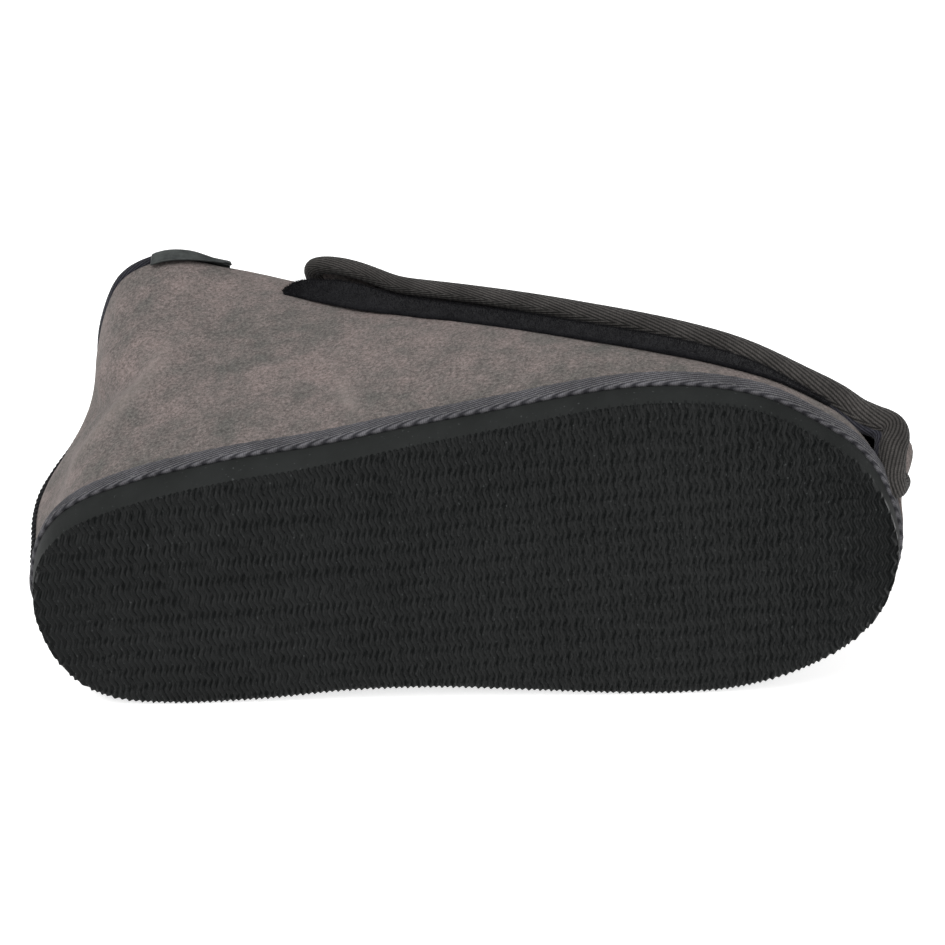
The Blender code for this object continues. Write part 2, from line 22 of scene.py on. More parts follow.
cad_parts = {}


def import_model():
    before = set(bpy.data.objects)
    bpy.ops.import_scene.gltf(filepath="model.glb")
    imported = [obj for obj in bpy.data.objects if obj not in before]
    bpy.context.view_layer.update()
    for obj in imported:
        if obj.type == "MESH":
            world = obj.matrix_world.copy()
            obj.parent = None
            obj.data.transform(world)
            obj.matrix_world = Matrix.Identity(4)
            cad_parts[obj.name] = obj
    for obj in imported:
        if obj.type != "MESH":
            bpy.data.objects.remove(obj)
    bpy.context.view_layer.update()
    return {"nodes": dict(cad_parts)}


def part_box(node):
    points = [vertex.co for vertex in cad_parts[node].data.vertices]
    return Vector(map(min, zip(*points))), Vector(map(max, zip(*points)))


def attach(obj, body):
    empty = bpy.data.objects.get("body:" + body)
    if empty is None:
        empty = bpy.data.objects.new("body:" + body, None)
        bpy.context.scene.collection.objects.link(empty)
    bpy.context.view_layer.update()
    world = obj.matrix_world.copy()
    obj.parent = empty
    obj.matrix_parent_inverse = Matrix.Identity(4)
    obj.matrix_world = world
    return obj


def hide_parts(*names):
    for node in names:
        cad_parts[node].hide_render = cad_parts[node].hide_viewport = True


LOG = logging.getLogger("slipper")
MM = 0.001
MERGE = 0.01 * MM
Array = np.ndarray
Color = tuple[float, float, float]

# Tread outline: share of the length, lateral and medial half width as shares of the ball width
OUTLINE = (
    (0.000, 0.000, 0.000), (0.012, 0.148, 0.165), (0.035, 0.238, 0.258), (0.070, 0.302, 0.316),
    (0.140, 0.360, 0.350), (0.250, 0.411, 0.358), (0.350, 0.437, 0.350), (0.455, 0.478, 0.362),
    (0.560, 0.514, 0.396), (0.665, 0.550, 0.431), (0.735, 0.556, 0.446), (0.800, 0.537, 0.445),
    (0.860, 0.489, 0.416), (0.915, 0.398, 0.358), (0.955, 0.310, 0.285), (0.982, 0.193, 0.193),
    (1.000, 0.000, 0.000),
)

# Collar rim: rib, then along, lateral, medial and height as shares of the sizes
RIM = (
    (0.000, 0.028, 0.000, 0.000, 0.900), (0.045, 0.031, 0.124, 0.120, 0.913),
    (0.090, 0.044, 0.248, 0.223, 0.942), (0.130, 0.070, 0.355, 0.314, 0.975),
    (0.190, 0.129, 0.413, 0.372, 1.000), (0.275, 0.213, 0.380, 0.364, 0.987),
    (0.350, 0.290, 0.325, 0.331, 0.960), (0.410, 0.343, 0.215, 0.223, 0.948),
    (0.450, 0.360, 0.000, 0.000, 0.945),
)

# Crest over the instep: rib, then along, lean and height as shares, and the rib's squareness
CREST = (
    (0.450, 0.360, 0.000, 0.945, 2.9), (0.550, 0.490, 0.025, 0.788, 2.7),
    (0.650, 0.622, 0.040, 0.632, 2.4), (0.750, 0.752, 0.040, 0.490, 2.3),
    (0.850, 0.864, 0.030, 0.370, 2.3), (0.930, 0.932, 0.015, 0.305, 2.4),
    (1.000, 0.962, 0.000, 0.280, 2.5),
)

# Swell beyond the straight wall: rib, heel share lateral, heel share medial, toe share
SWELL = (
    (0.00, 1.00, 1.00, 0.00), (0.05, -0.12, 0.60, 0.00), (0.10, -0.28, 0.30, 0.00),
    (0.20, -0.07, 0.10, 0.00), (0.32, 0.00, 0.00, 0.00), (0.45, 0.00, 0.00, 0.00),
    (0.80, 0.00, 0.00, 0.10), (0.92, 0.00, 0.00, 0.80), (1.00, 0.00, 0.00, 1.00),
)

# Flap: rib, height of the free lateral edge, height of the sewn medial edge
FLAP_EDGES = (
    (0.375, 0.930, 0.900), (0.400, 0.820, 0.700), (0.430, 0.720, 0.560), (0.500, 0.620, 0.480),
    (0.600, 0.560, 0.440), (0.750, 0.530, 0.400), (0.860, 0.500, 0.300), (0.900, 0.440, 0.160),
    (0.930, 0.340, 0.100), (0.958, 0.000, 0.000), (1.000, 0.000, 0.000),
)

# Pile strip on the lateral panel: rib, lower height, upper height. Past rib 0.78, towards the toe, the strip
# is carried on where the band under the flap's roll is dark with shade, so there its black pile is partly a
# painted shadow.
PILE_STRIP = (
    (0.330, 0.690, 0.710), (0.345, 0.630, 0.800), (0.370, 0.520, 0.900), (0.400, 0.410, 0.870),
    (0.445, 0.330, 0.750), (0.500, 0.305, 0.660), (0.570, 0.260, 0.600), (0.640, 0.205, 0.585),
    (0.710, 0.150, 0.565), (0.780, 0.140, 0.560), (0.860, 0.260, 0.550),
)


class Side(Enum):
    """The two sides of the shoe, with the sign of their rib numbers."""

    LATERAL = -1
    MEDIAL = 1


class Slot(Enum):
    """Material slot names, which are logged for each piece."""

    FOAM = "foam"
    FELT = "felt"
    SUEDE = "suede"
    PILE = "pile"
    TWILL = "twill"
    LEATHER = "leather"
    CORD = "cord"


def table(rows: tuple, column: int, at: Array) -> Array:
    """Smooth value of one table column, by cubic pieces with shared slopes.

    Args:
        rows: The table, with its knots in the first column.
        column: Which column to read.
        at: Places between the first and last knot.

    Returns:
        One value for each place.
    """
    grid = np.array(rows, dtype=float)
    knots, values = grid[:, 0], grid[:, column]
    slopes = np.gradient(values, knots)
    at = np.clip(np.asarray(at, dtype=float), knots[0], knots[-1])
    cell = np.clip(np.searchsorted(knots, at, side="right") - 1, 0, len(knots) - 2)
    span = knots[cell + 1] - knots[cell]
    t = (at - knots[cell]) / span
    start = values[cell] * (1 + 2 * t) * (1 - t) ** 2 + slopes[cell] * span * t * (1 - t) ** 2
    end = values[cell + 1] * t * t * (3 - 2 * t) - slopes[cell + 1] * span * t * t * (1 - t)
    return start + end


def smooth_step(low: float, high: float, at: Array) -> Array:
    """Rise from 0 at low to 1 at high as 3t squared minus 2t cubed.

    Args:
        low: Where the rise begins.
        high: Where it ends.
        at: Places to read.

    Returns:
        Values from 0 to 1.
    """
    t = np.clip((np.asarray(at, dtype=float) - low) / (high - low), 0.0, 1.0)
    return t * t * (3 - 2 * t)


def unit(vectors: Array) -> Array:
    """Vectors divided by their own lengths."""
    return vectors / np.maximum(np.linalg.norm(vectors, axis=-1, keepdims=True), 1e-12)


def running(points: Array) -> Array:
    """Running length along a line of points, from 0."""
    return np.concatenate([[0.0], np.cumsum(np.linalg.norm(np.diff(points, axis=0), axis=1))])


def wrapped(rib: Array) -> Array:
    """Signed rib number kept between -1 and 1 across the toe."""
    return (np.asarray(rib, dtype=float) + 1.0) % 2.0 - 1.0


@dataclass
class SlipperForm:
    """Shape rules of the shoe in its own frame, with the sizes that its layers share."""

    sole_length: float = 286.0 * MM
    ball_width: float = 121.0 * MM
    shaft_height: float = 138.0 * MM
    sole_at_heel: float = 12.0 * MM
    sole_at_toe: float = 7.5 * MM
    sole_flare: float = 1.2 * MM
    sole_edge_round: float = 1.0 * MM
    wall: float = 3.0 * MM
    seam_inset: float = 1.0 * MM
    seam_inset_medial: float = 2.7 * MM
    heel_swell: float = 8.5 * MM
    heel_swell_low: float = 0.80
    toe_swell: float = 3.0 * MM
    gap: float = 0.3 * MM
    rim_end: float = 0.450
    round_from: float = 0.160
    upper_rows: int = 12
    skin_step: float = 0.004
    lie_roll: float = math.radians(-88.757)
    lie_pitch: float = math.radians(-3.9105)
    sides: dict[Side, tuple[Array, Array]] = field(init=False)
    turn: Array = field(init=False)
    shift: Array = field(init=False)

    def __post_init__(self) -> None:
        """Work out the two side lines and where the shoe lies."""
        self.sides = self.side_lines()
        turn = Matrix.Rotation(self.lie_pitch, 3, "Y") @ Matrix.Rotation(self.lie_roll, 3, "X")
        self.turn = np.array(turn)
        ribs = np.arange(80) / 40 - 1.0
        bottom, _ = self.outline_at(ribs, np.full(ribs.shape, -self.sole_edge_round))
        middle, _ = self.outline_at(ribs, np.zeros(ribs.shape))
        top, _ = self.outline_at(ribs, np.full(ribs.shape, self.sole_flare))
        rings = [
            np.column_stack([bottom, np.zeros(len(ribs))]),
            np.column_stack([middle, np.full(len(ribs), self.sole_edge_round)]),
            np.column_stack([top, self.sole_top(top[:, 0])]),
        ]
        low = (np.concatenate(rings) @ self.turn.T).min(axis=0)
        self.shift = np.array(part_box("outsole")[0]) - low

    def place(self, points: Array) -> Array:
        """Points of the shoe's own frame as they lie in the CAD frame."""
        return points @ self.turn.T + self.shift

    def side_lines(self) -> dict[Side, tuple[Array, Array]]:
        """Dense outline of each side through the table's points, by centripetal cubics.

        Returns:
            For each side, the running length as 0 to 1, and the points.
        """
        rows = np.array(OUTLINE)
        scale = np.array([self.sole_length, self.ball_width])
        lateral = rows[:, [0, 1]] * scale * (1, -1)
        medial = rows[:, [0, 2]] * scale
        loop = np.vstack([lateral, medial[-2:0:-1]])
        before, after, later = (np.roll(loop, -k, axis=0) for k in (-1, 1, 2))
        gap_in, gap, gap_out = (
            np.linalg.norm(b - a, axis=1, keepdims=True) ** 0.5
            for a, b in ((before, loop), (loop, after), (after, later))
        )
        out = (loop - before) / gap_in - (after - before) / (gap_in + gap) + (after - loop) / gap
        into = (after - loop) / gap - (later - loop) / (gap + gap_out) + (later - after) / gap_out
        t = (np.arange(24) / 24)[None, :, None]
        dense = loop[:, None] * (1 + 2 * t) * (1 - t) ** 2 + after[:, None] * t * t * (3 - 2 * t)
        dense = dense + (out * gap)[:, None] * t * (1 - t) ** 2
        dense = dense - (into * gap)[:, None] * t * t * (1 - t)
        dense = dense.reshape(-1, 2)
        toe = (len(OUTLINE) - 1) * 24
        closed = np.vstack([dense, dense[:1]])
        lines = {}
        for side, line in ((Side.LATERAL, closed[: toe + 1]), (Side.MEDIAL, closed[toe:][::-1])):
            run = running(line)
            lines[side] = (run / run[-1], line)
        return lines

    def outline_at(self, rib: Array, grow: Array) -> tuple[Array, Array]:
        """Tread outline at signed rib numbers, moved outwards along its normal.

        Args:
            rib: Signed rib numbers.
            grow: Distance outwards at each.

        Returns:
            The points and their outward normals, both in the tread's plane.
        """
        rib = np.asarray(rib, dtype=float)

        def raw(number: Array) -> Array:
            """Point on the side line that the number's sign names."""
            point = np.empty(number.shape + (2,))
            for side in Side:
                run, line = self.sides[side]
                part = (number < 0) if side is Side.LATERAL else (number >= 0)
                for axis in (0, 1):
                    point[part, axis] = np.interp(np.abs(number[part]), run, line[:, axis])
            return point

        along = raw(wrapped(rib + self.skin_step)) - raw(wrapped(rib - self.skin_step))
        normal = unit(np.stack([-along[..., 1], along[..., 0]], axis=-1))
        return raw(rib) + normal * np.asarray(grow)[..., None], normal

    def sole_top(self, x: Array) -> Array:
        """Height of the foam sole's flat top, falling evenly from heel to toe."""
        return self.sole_at_heel + (self.sole_at_toe - self.sole_at_heel) * x / self.sole_length

    def inset_at(self, rib: Array) -> Array:
        """How far the upper's foot stands inside the sole's edge, more on the medial side."""
        number = np.abs(rib)
        medial = smooth_step(0.030, 0.120, number) * (1.0 - smooth_step(0.880, 0.970, number))
        extra = self.seam_inset_medial - self.seam_inset
        return self.seam_inset + extra * np.where(rib > 0, medial, 0.0)

    def top_line(self, rib: Array) -> Array:
        """Rim point, or crest point in front of the collar."""
        number = np.abs(rib)
        side = np.where(rib < 0, -1.0, 1.0)
        width = np.where(rib < 0, table(RIM, 2, number), table(RIM, 3, number))
        on_rim = number < self.rim_end
        x = np.where(on_rim, table(RIM, 1, number), table(CREST, 1, number)) * self.sole_length
        y = np.where(on_rim, side * width, -table(CREST, 2, number)) * self.ball_width
        z = np.where(on_rim, table(RIM, 4, number), table(CREST, 3, number)) * self.shaft_height
        return np.stack([x, y, z], axis=-1)

    def skin(self, rib: Array, height: Array) -> Array:
        """Outer face of the upper: a wall that turns into a rounded rib, plus a sine swell.

        Args:
            rib: Signed rib numbers.
            height: Heights on the rib from 0 to 1.

        Returns:
            Points in the shoe's own frame.
        """
        rib, height = np.broadcast_arrays(np.asarray(rib, float), np.asarray(height, float))
        number = np.abs(rib)
        foot, outwards = self.outline_at(rib, self.sole_flare - self.inset_at(rib))
        top = self.top_line(rib)
        floor = self.sole_top(foot[..., 0]) + self.gap
        power = 2.0 / table(CREST, 4, number)
        rounded = smooth_step(self.round_from, self.rim_end, number)
        level = np.clip(height, 0.0, 1.0)
        angle = level * math.pi / 2
        over = rounded * (1 - np.clip(np.cos(angle), 0.0, 1.0) ** power) + (1 - rounded) * height
        up = rounded * np.sin(angle) ** power + (1 - rounded) * height
        heel = np.where(rib < 0, table(SWELL, 1, number), table(SWELL, 2, number))
        swell = self.heel_swell * heel * np.sin(math.pi * level**self.heel_swell_low)
        swell = swell + self.toe_swell * table(SWELL, 3, number) * np.sin(math.pi * level)
        flat = foot + (top[..., :2] - foot) * over[..., None] + outwards * swell[..., None]
        return np.concatenate([flat, (floor + (top[..., 2] - floor) * up)[..., None]], axis=-1)

    def skin_normal(self, rib: Array, height: Array) -> Array:
        """Unit normal of the skin, out of the shoe, from two short differences."""
        rib, height = np.broadcast_arrays(np.asarray(rib, float), np.asarray(height, float))
        step = self.skin_step
        along = self.skin(wrapped(rib + step), height) - self.skin(wrapped(rib - step), height)
        up = self.skin(rib, np.minimum(height + step, 1.0))
        up = up - self.skin(rib, np.maximum(height - step, 0.0))
        return unit(np.cross(up, along))

    def rim_frame(self, ribs: Array) -> tuple[Array, Array]:
        """Outward and upward directions of the upper's last row at the rim."""
        up = unit(self.skin(ribs, 1.0) - self.skin(ribs, 1.0 - 1.0 / self.upper_rows))
        along = self.skin(ribs + self.skin_step, 1.0) - self.skin(ribs - self.skin_step, 1.0)
        return unit(np.cross(up, along)), up

    def rib_lengths(self, ribs: Array) -> Array:
        """Length up the skin from sole to top at each rib."""
        line = self.skin(ribs[:, None], np.linspace(0.0, 1.0, 60)[None, :])
        return np.linalg.norm(np.diff(line, axis=1), axis=2).sum(axis=1)

    def heights_up(self, ribs: Array, climbs: Array) -> Array:
        """Heights that lie given lengths up the skin from the sole.

        Args:
            ribs: Signed rib numbers, one for each column.
            climbs: Lengths up the skin in metres.

        Returns:
            Heights, one row for each rib and one column for each length.
        """
        fine = np.linspace(0.0, 1.0, 240)
        line = self.skin(ribs[:, None], fine[None, :])
        steps = np.linalg.norm(np.diff(line, axis=1), axis=2)
        run = np.concatenate([np.zeros((len(ribs), 1)), np.cumsum(steps, axis=1)], axis=1)
        return np.stack([np.interp(climbs, row, fine) for row in run])


class Graph:
    """A material under construction: its node tree and its Principled shader."""

    def __init__(self, name: str) -> None:
        """Start a material of that name with one Principled shader."""
        self.material = bpy.data.materials.new(name)
        self.material.use_nodes = True
        self.tree = self.material.node_tree
        self.shader = self.tree.nodes["Principled BSDF"]

    def add(self, kind: str, feeds: dict[str | int, Any] | None = None, **settings: Any) -> Any:
        """Add a node.

        Args:
            kind: The node's type name.
            feeds: Values or output sockets for its inputs.
            settings: Attributes of the node.

        Returns:
            The node.
        """
        node = self.tree.nodes.new(kind)
        for key, value in settings.items():
            setattr(node, key, value)
        for key, value in (feeds or {}).items():
            self.feed(node.inputs[key], value)
        return node

    def feed(self, socket: Any, value: Any) -> None:
        """Link an output socket to an input, or set the input's own value."""
        if isinstance(value, bpy.types.NodeSocket):
            self.tree.links.new(value, socket)
        else:
            socket.default_value = value

    def set(self, **inputs: Any) -> None:
        """Set or link the shader's inputs; an underscore stands for a blank."""
        for key, value in inputs.items():
            self.feed(self.shader.inputs[key.replace("_", " ")], value)

    def coordinates(self, which: str = "Object") -> Any:
        """Output socket of the coordinates that a pattern reads."""
        return self.add("ShaderNodeTexCoord").outputs[which]

    def noise(self, where: Any, size: float, detail: float = 2.0) -> Any:
        """Noise whose blotches are about size metres across."""
        feeds = {"Vector": where, "Scale": 1.0 / size, "Detail": detail, "Roughness": 0.6}
        return self.add("ShaderNodeTexNoise", feeds).outputs["Fac"]

    def math(self, operation: str, *values: Any) -> Any:
        """Output of a math node over numbers or sockets."""
        return self.add("ShaderNodeMath", dict(enumerate(values)), operation=operation).outputs[0]

    def herringbone(self, pitch: float, slant: float, band: float) -> Any:
        """Herringbone lines as a cosine on the piece's own UV map, in metres.

        Args:
            pitch: Distance between ribs.
            slant: Angle between the ribs and the tape, in radians.
            band: Width of a band before the slant turns over.

        Returns:
            Socket with 0 in a groove and 1 on a rib.
        """
        place = self.add("ShaderNodeSeparateXYZ", {"Vector": self.coordinates("UV")}).outputs
        turns = math.tau / pitch
        folded = self.math("PINGPONG", place["Y"], band)
        across = self.math("MULTIPLY", folded, math.cos(slant) * turns)
        phase = self.math("MULTIPLY_ADD", place["X"], math.sin(slant) * turns, across)
        return self.math("MULTIPLY_ADD", self.math("COSINE", phase), 0.5, 0.5)

    def ramp(self, factor: Any, stops: tuple[tuple[float, Color], ...]) -> Any:
        """Colour ramp over a factor."""
        node = self.add("ShaderNodeValToRGB", {"Fac": factor})
        elements = node.color_ramp.elements
        for k, (place, color) in enumerate(stops):
            spot = elements[k] if k < 2 else elements.new(place)
            spot.position = place
            spot.color = (*color, 1.0)
        return node.outputs["Color"]

    def mix(self, factor: Any, first: Any, second: Any, mode: str = "MIX") -> Any:
        """Two colours mixed by a factor."""
        node = self.add("ShaderNodeMix", data_type="RGBA", blend_type=mode)
        for index, value in ((0, factor), (6, first), (7, second)):
            self.feed(node.inputs[index], value)
        return node.outputs[2]

    def shade(self, base: Any, factor: Any, places: tuple, greys: tuple, share: float) -> Any:
        """Colour multiplied, by a share, with a ramp of two greys over a factor."""
        stops = tuple((place, (grey,) * 3) for place, grey in zip(places, greys))
        return self.mix(share, base, self.ramp(factor, stops), "MULTIPLY")

    def bump(self, height: Any, distance: float, strength: float = 1.0, below: Any = None) -> Any:
        """Bump normal, laid over an earlier one where there is one."""
        feeds = {"Height": height, "Distance": distance, "Strength": strength}
        if below is not None:
            feeds["Normal"] = below
        return self.add("ShaderNodeBump", feeds).outputs["Normal"]


@dataclass(frozen=True)
class Suede:
    """Short napped suede: cloudy colour, a painted highlight along a ridge and a pale scuff, fine grain and a
    soft sheen.
    """

    pink: Color = (0.176, 0.144, 0.136)
    middle: Color = (0.130, 0.113, 0.107)
    grey: Color = (0.094, 0.090, 0.084)
    highlight_and_scuff_color: Color = (0.250, 0.215, 0.200)
    highlight_and_scuff_share: float = 0.38
    cloud: float = 30.0 * MM
    patch: float = 8.0 * MM
    nap: float = 1.1 * MM
    grain: float = 0.45 * MM
    nap_depth: float = 0.35 * MM

    def make(self) -> bpy.types.Material:
        """Build the material.

        Returns:
            Suede with clouds, patches and nap, each from noise on Object coordinates.
        """
        g = Graph("suede_nap")
        where = g.coordinates()
        clouds = g.noise(where, self.cloud, 3.0)
        patches = g.noise(where, self.patch, 5.0)
        nap = g.noise(where, self.nap, 4.0)
        grain = g.noise(where, self.grain, 2.0)
        stops = ((0.38, self.grey), (0.62, self.pink), (0.50, self.middle))
        base = g.mix(0.5, g.ramp(clouds, stops), g.ramp(patches, stops))
        base = g.shade(base, nap, (0.33, 0.67), (0.52, 1.45), 0.8)
        base = g.shade(base, grain, (0.33, 0.67), (0.66, 1.34), 0.8)
        highlight_and_scuff_marks = g.add("ShaderNodeAttribute", attribute_name="ridge_highlight_and_scuff").outputs["Fac"]
        # Painted highlight: the nap is mixed paler along the heel's first ridge, where light would catch it,
        # and on the scuff mark low on the lateral side.
        base = g.mix(g.math("MULTIPLY", highlight_and_scuff_marks, self.highlight_and_scuff_share), base, (*self.highlight_and_scuff_color, 1.0))
        normal = g.bump(patches, 0.6 * MM, 0.4)
        normal = g.bump(nap, self.nap_depth, 0.8, normal)
        normal = g.bump(grain, 0.12 * MM, 0.7, normal)
        g.set(Base_Color=base, Normal=normal, Roughness=0.95, Specular_IOR_Level=0.08)
        g.set(Sheen_Weight=0.12, Sheen_Roughness=0.5, Sheen_Tint=(0.75, 0.70, 0.67, 1.0))
        return g.material


@dataclass(frozen=True)
class Foam:
    """Near black foam rubber with fine cells and sparse bright specks."""

    name: str
    base: Color
    lifted: Color
    roughness: float
    gloss: float
    cell: float = 0.45 * MM
    speck: Color = (0.07, 0.075, 0.075)

    def make(self) -> bpy.types.Material:
        """Build the material.

        Returns:
            Foam whose colour shifts in broad clouds, with specks and fine cells.
        """
        g = Graph(self.name)
        where = g.coordinates()
        clouds = g.noise(where, 22.0 * MM, 3.0)
        cells = g.noise(where, self.cell, 2.0)
        specks = g.noise(where, 0.9 * MM, 0.0)
        base = g.ramp(clouds, ((0.35, self.base), (0.68, self.lifted)))
        spots = g.ramp(specks, ((0.78, (0.0,) * 3), (0.86, (0.5,) * 3)))
        base = g.mix(spots, base, (*self.speck, 1.0))
        normal = g.bump(cells, 0.10 * MM, 0.7)
        g.set(Base_Color=base, Normal=normal, Roughness=self.roughness, Specular_IOR_Level=self.gloss)
        return g.material


@dataclass(frozen=True)
class Twill:
    """Woven tape: slanted ribs that turn over from band to band, with yarns along them."""

    name: str
    dark: Color
    light: Color
    pitch: float
    slant: float
    band: float

    def make(self) -> bpy.types.Material:
        """Build the material.

        Returns:
            Twill whose ribs follow the tape's own UV map, in metres.
        """
        g = Graph(self.name)
        ribs = g.herringbone(self.pitch, self.slant, self.band)
        yarns = g.herringbone(self.pitch * 0.62, self.slant + 1.1, self.band)
        spots = g.noise(g.coordinates(), 0.6 * MM, 4.0)
        wear = g.noise(g.coordinates(), 14.0 * MM, 3.0)
        # Painted shade and highlight: the colour is darker in the grooves and lighter on the ribs, and the
        # finer yarns darken and lighten the same way, following the weave's relief.
        base = g.ramp(ribs, ((0.05, self.dark), (0.80, self.light)))
        base = g.shade(base, wear, (0.35, 0.65), (0.75, 1.25), 0.9)
        base = g.shade(base, spots, (0.32, 0.68), (0.60, 1.40), 0.8)
        base = g.shade(base, yarns, (0.0, 1.0), (0.78, 1.14), 0.8)
        normal = g.bump(ribs, 0.22 * MM, 0.9)
        normal = g.bump(yarns, 0.06 * MM, 0.6, normal)
        normal = g.bump(spots, 0.10 * MM, 0.6, normal)
        g.set(Base_Color=base, Normal=normal, Roughness=0.9, Specular_IOR_Level=0.12)
        g.set(Sheen_Weight=0.08, Sheen_Roughness=0.4)
        return g.material


@dataclass(frozen=True)
class Plush:
    """Soft cloth or thread with short tufts, for strip, lining, insole, seam and stitches."""

    name: str
    dark: Color
    light: Color
    tuft: float = 0.8 * MM
    depth: float = 0.5 * MM
    sheen: float = 0.10

    def make(self) -> bpy.types.Material:
        """Build the material.

        Returns:
            Pile cloth with tufts from noise on Object coordinates.
        """
        g = Graph(self.name)
        where = g.coordinates()
        tufts = g.noise(where, self.tuft, 4.0)
        broad = g.noise(where, 9.0 * MM, 3.0)
        base = g.ramp(tufts, ((0.30, self.dark), (0.72, self.light)))
        base = g.mix(0.3, base, g.ramp(broad, ((0.35, self.dark), (0.65, self.light))))
        normal = g.bump(tufts, self.depth, 0.9)
        g.set(Base_Color=base, Normal=normal, Roughness=1.0, Specular_IOR_Level=0.05)
        g.set(Sheen_Weight=self.sheen, Sheen_Roughness=0.45)
        return g.material


@dataclass(frozen=True)
class Leather:
    """Smooth black leather with fine pores and a worn gloss."""

    base: Color = (0.014, 0.017, 0.017)
    worn: Color = (0.052, 0.058, 0.056)
    pore: float = 0.7 * MM

    def make(self) -> bpy.types.Material:
        """Build the material.

        Returns:
            Leather with Voronoi pores and a soft change of gloss.
        """
        g = Graph("label_leather")
        where = g.coordinates()
        pores = g.add("ShaderNodeTexVoronoi", {"Vector": where, "Scale": 1.0 / self.pore})
        wear = g.noise(where, 4.0 * MM, 4.0)
        base = g.ramp(wear, ((0.38, self.base), (0.66, self.worn)))
        gloss = g.ramp(wear, ((0.30, (0.40,) * 3), (0.70, (0.60,) * 3)))
        normal = g.bump(pores.outputs["Distance"], 0.06 * MM, 0.6)
        g.set(Base_Color=base, Normal=normal, Roughness=gloss, Specular_IOR_Level=0.35)
        return g.material


def grid_faces(rows: int, columns: int, wrap: bool) -> Array:
    """Quads between neighbouring rows of a grid, whose columns may close on themselves."""
    row, column = np.meshgrid(np.arange(rows - 1), np.arange(columns - (not wrap)), indexing="ij")
    after = (column + 1) % columns
    corners = [row * columns + column, (row + 1) * columns + column]
    corners += [(row + 1) * columns + after, row * columns + after]
    return np.stack(corners, axis=-1).reshape(-1, 4)


def face_centers(mesh: bpy.types.Mesh) -> Array:
    """Middle of each face."""
    centers = np.empty(len(mesh.polygons) * 3)
    mesh.polygons.foreach_get("center", centers)
    return centers.reshape(-1, 3)


def linked(name: str, mesh: bpy.types.Mesh, merge: float = 0.0) -> bpy.types.Object:
    """Link a mesh as an object, its faces outwards and its points merged within a distance."""
    bm = bmesh.new()
    bm.from_mesh(mesh)
    if merge > 0.0:
        bmesh.ops.remove_doubles(bm, verts=bm.verts, dist=merge)
    bmesh.ops.recalc_face_normals(bm, faces=bm.faces)
    bm.to_mesh(mesh)
    bm.free()
    made = bpy.data.objects.new(name, mesh)
    bpy.context.scene.collection.objects.link(made)
    return made


def surface(
    form: SlipperForm, name: str, points: Array, wrap: bool = False, uv: Array | None = None,
    outward: tuple[float, float] | None = None, ridge_highlight_and_scuff: Array | None = None,
) -> bpy.types.Object:
    """Mesh object from a grid of points, with equal points merged and normals outwards.

    Args:
        form: The shape rules, which place the points.
        name: The object's name.
        points: Grid of points in the shoe's own frame.
        wrap: Whether each row closes on itself.
        uv: Two surface lengths for each point, in metres, with a closing column where rows wrap.
        outward: For an open surface, a rib and height on the skin near it, to tell its outside.
        ridge_highlight_and_scuff: For each point, from 0 to 1, how much paler its nap is painted: a painted
            highlight along the heel's ridge, and a pale scuff.

    Returns:
        The object, linked to the scene.
    """
    rows, columns = points.shape[:2]
    faces = grid_faces(rows, columns, wrap)
    mesh = bpy.data.meshes.new(name)
    mesh.from_pydata(form.place(points.reshape(-1, 3)), [], faces)
    if uv is not None:
        layer = mesh.uv_layers.new(name="along_tape")
        corners = grid_faces(rows, uv.shape[1], False).ravel()
        layer.data.foreach_set("uv", uv.reshape(-1, 2)[corners].astype(np.float32).ravel())
    if ridge_highlight_and_scuff is not None:
        highlight_and_scuff_marks = mesh.attributes.new("ridge_highlight_and_scuff", "FLOAT", "POINT")
        highlight_and_scuff_marks.data.foreach_set("value", ridge_highlight_and_scuff.ravel().astype(np.float32))
    made = linked(name, mesh, MERGE)
    if outward is not None:
        place = tuple(np.array(value) for value in outward)
        spot, way = form.place(form.skin(*place)), form.turn @ form.skin_normal(*place)
        near = int(np.linalg.norm(face_centers(mesh) - spot, axis=1).argmin())
        if mesh.polygons[near].normal.dot(Vector(way)) < 0:
            mesh.flip_normals()
    mesh.shade_smooth()
    return made


def shell(
    form: SlipperForm, name: str, inner: Array, outer: Array, free_top: Array,
) -> bpy.types.Object:
    """Closed wall between two grids, joined along the first column, both end rows and free tops.

    Args:
        form: The shape rules, which place the points.
        name: The object's name.
        inner: Grid of the inner face.
        outer: Grid of the outer face, of the same size.
        free_top: For each row, whether its last point is on an edge.

    Returns:
        The object, linked to the scene.
    """
    rows, columns = inner.shape[:2]
    number = np.arange(rows * columns).reshape(rows, columns)
    top = number[:, -1]
    edges = [np.stack([line[:-1], line[1:]], axis=1) for line in (number[:, 0], number[0], number[-1])]
    edges.append(np.stack([top[:-1], top[1:]], axis=1)[free_top[:-1] | free_top[1:]])
    rim = np.concatenate(edges)
    lips = np.column_stack([rim, rim[:, ::-1] + rows * columns])
    face = grid_faces(rows, columns, False)
    mesh = bpy.data.meshes.new(name)
    points = form.place(np.concatenate([inner.reshape(-1, 3), outer.reshape(-1, 3)]))
    mesh.from_pydata(points, [], np.concatenate([face, face + rows * columns, lips]))
    made = linked(name, mesh, MERGE)
    mesh.shade_smooth()
    mesh.set_sharp_from_angle(angle=math.radians(60))
    return made


def dress(
    piece: bpy.types.Object, slot: Slot, *finishes: bpy.types.Material, node: str | None = None,
) -> None:
    """Give a piece its materials and its body, hide the CAD node that it stands for, and log its slot."""
    for finish in finishes:
        piece.data.materials.append(finish)
    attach(piece, "root")
    if node is not None:
        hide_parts(node)
    LOG.info("%s: %d faces, slot %s", piece.name, len(piece.data.polygons), slot.value)


def thicken(piece: bpy.types.Object, thickness: float, offset: float, inner: int = 0) -> None:
    """Solidify an open surface; inner is how many slots on the inner wall's material lies."""
    wall = piece.modifiers.new("wall", "SOLIDIFY")
    wall.thickness = thickness
    wall.offset = offset
    wall.use_quality_normals = True
    wall.material_offset = inner


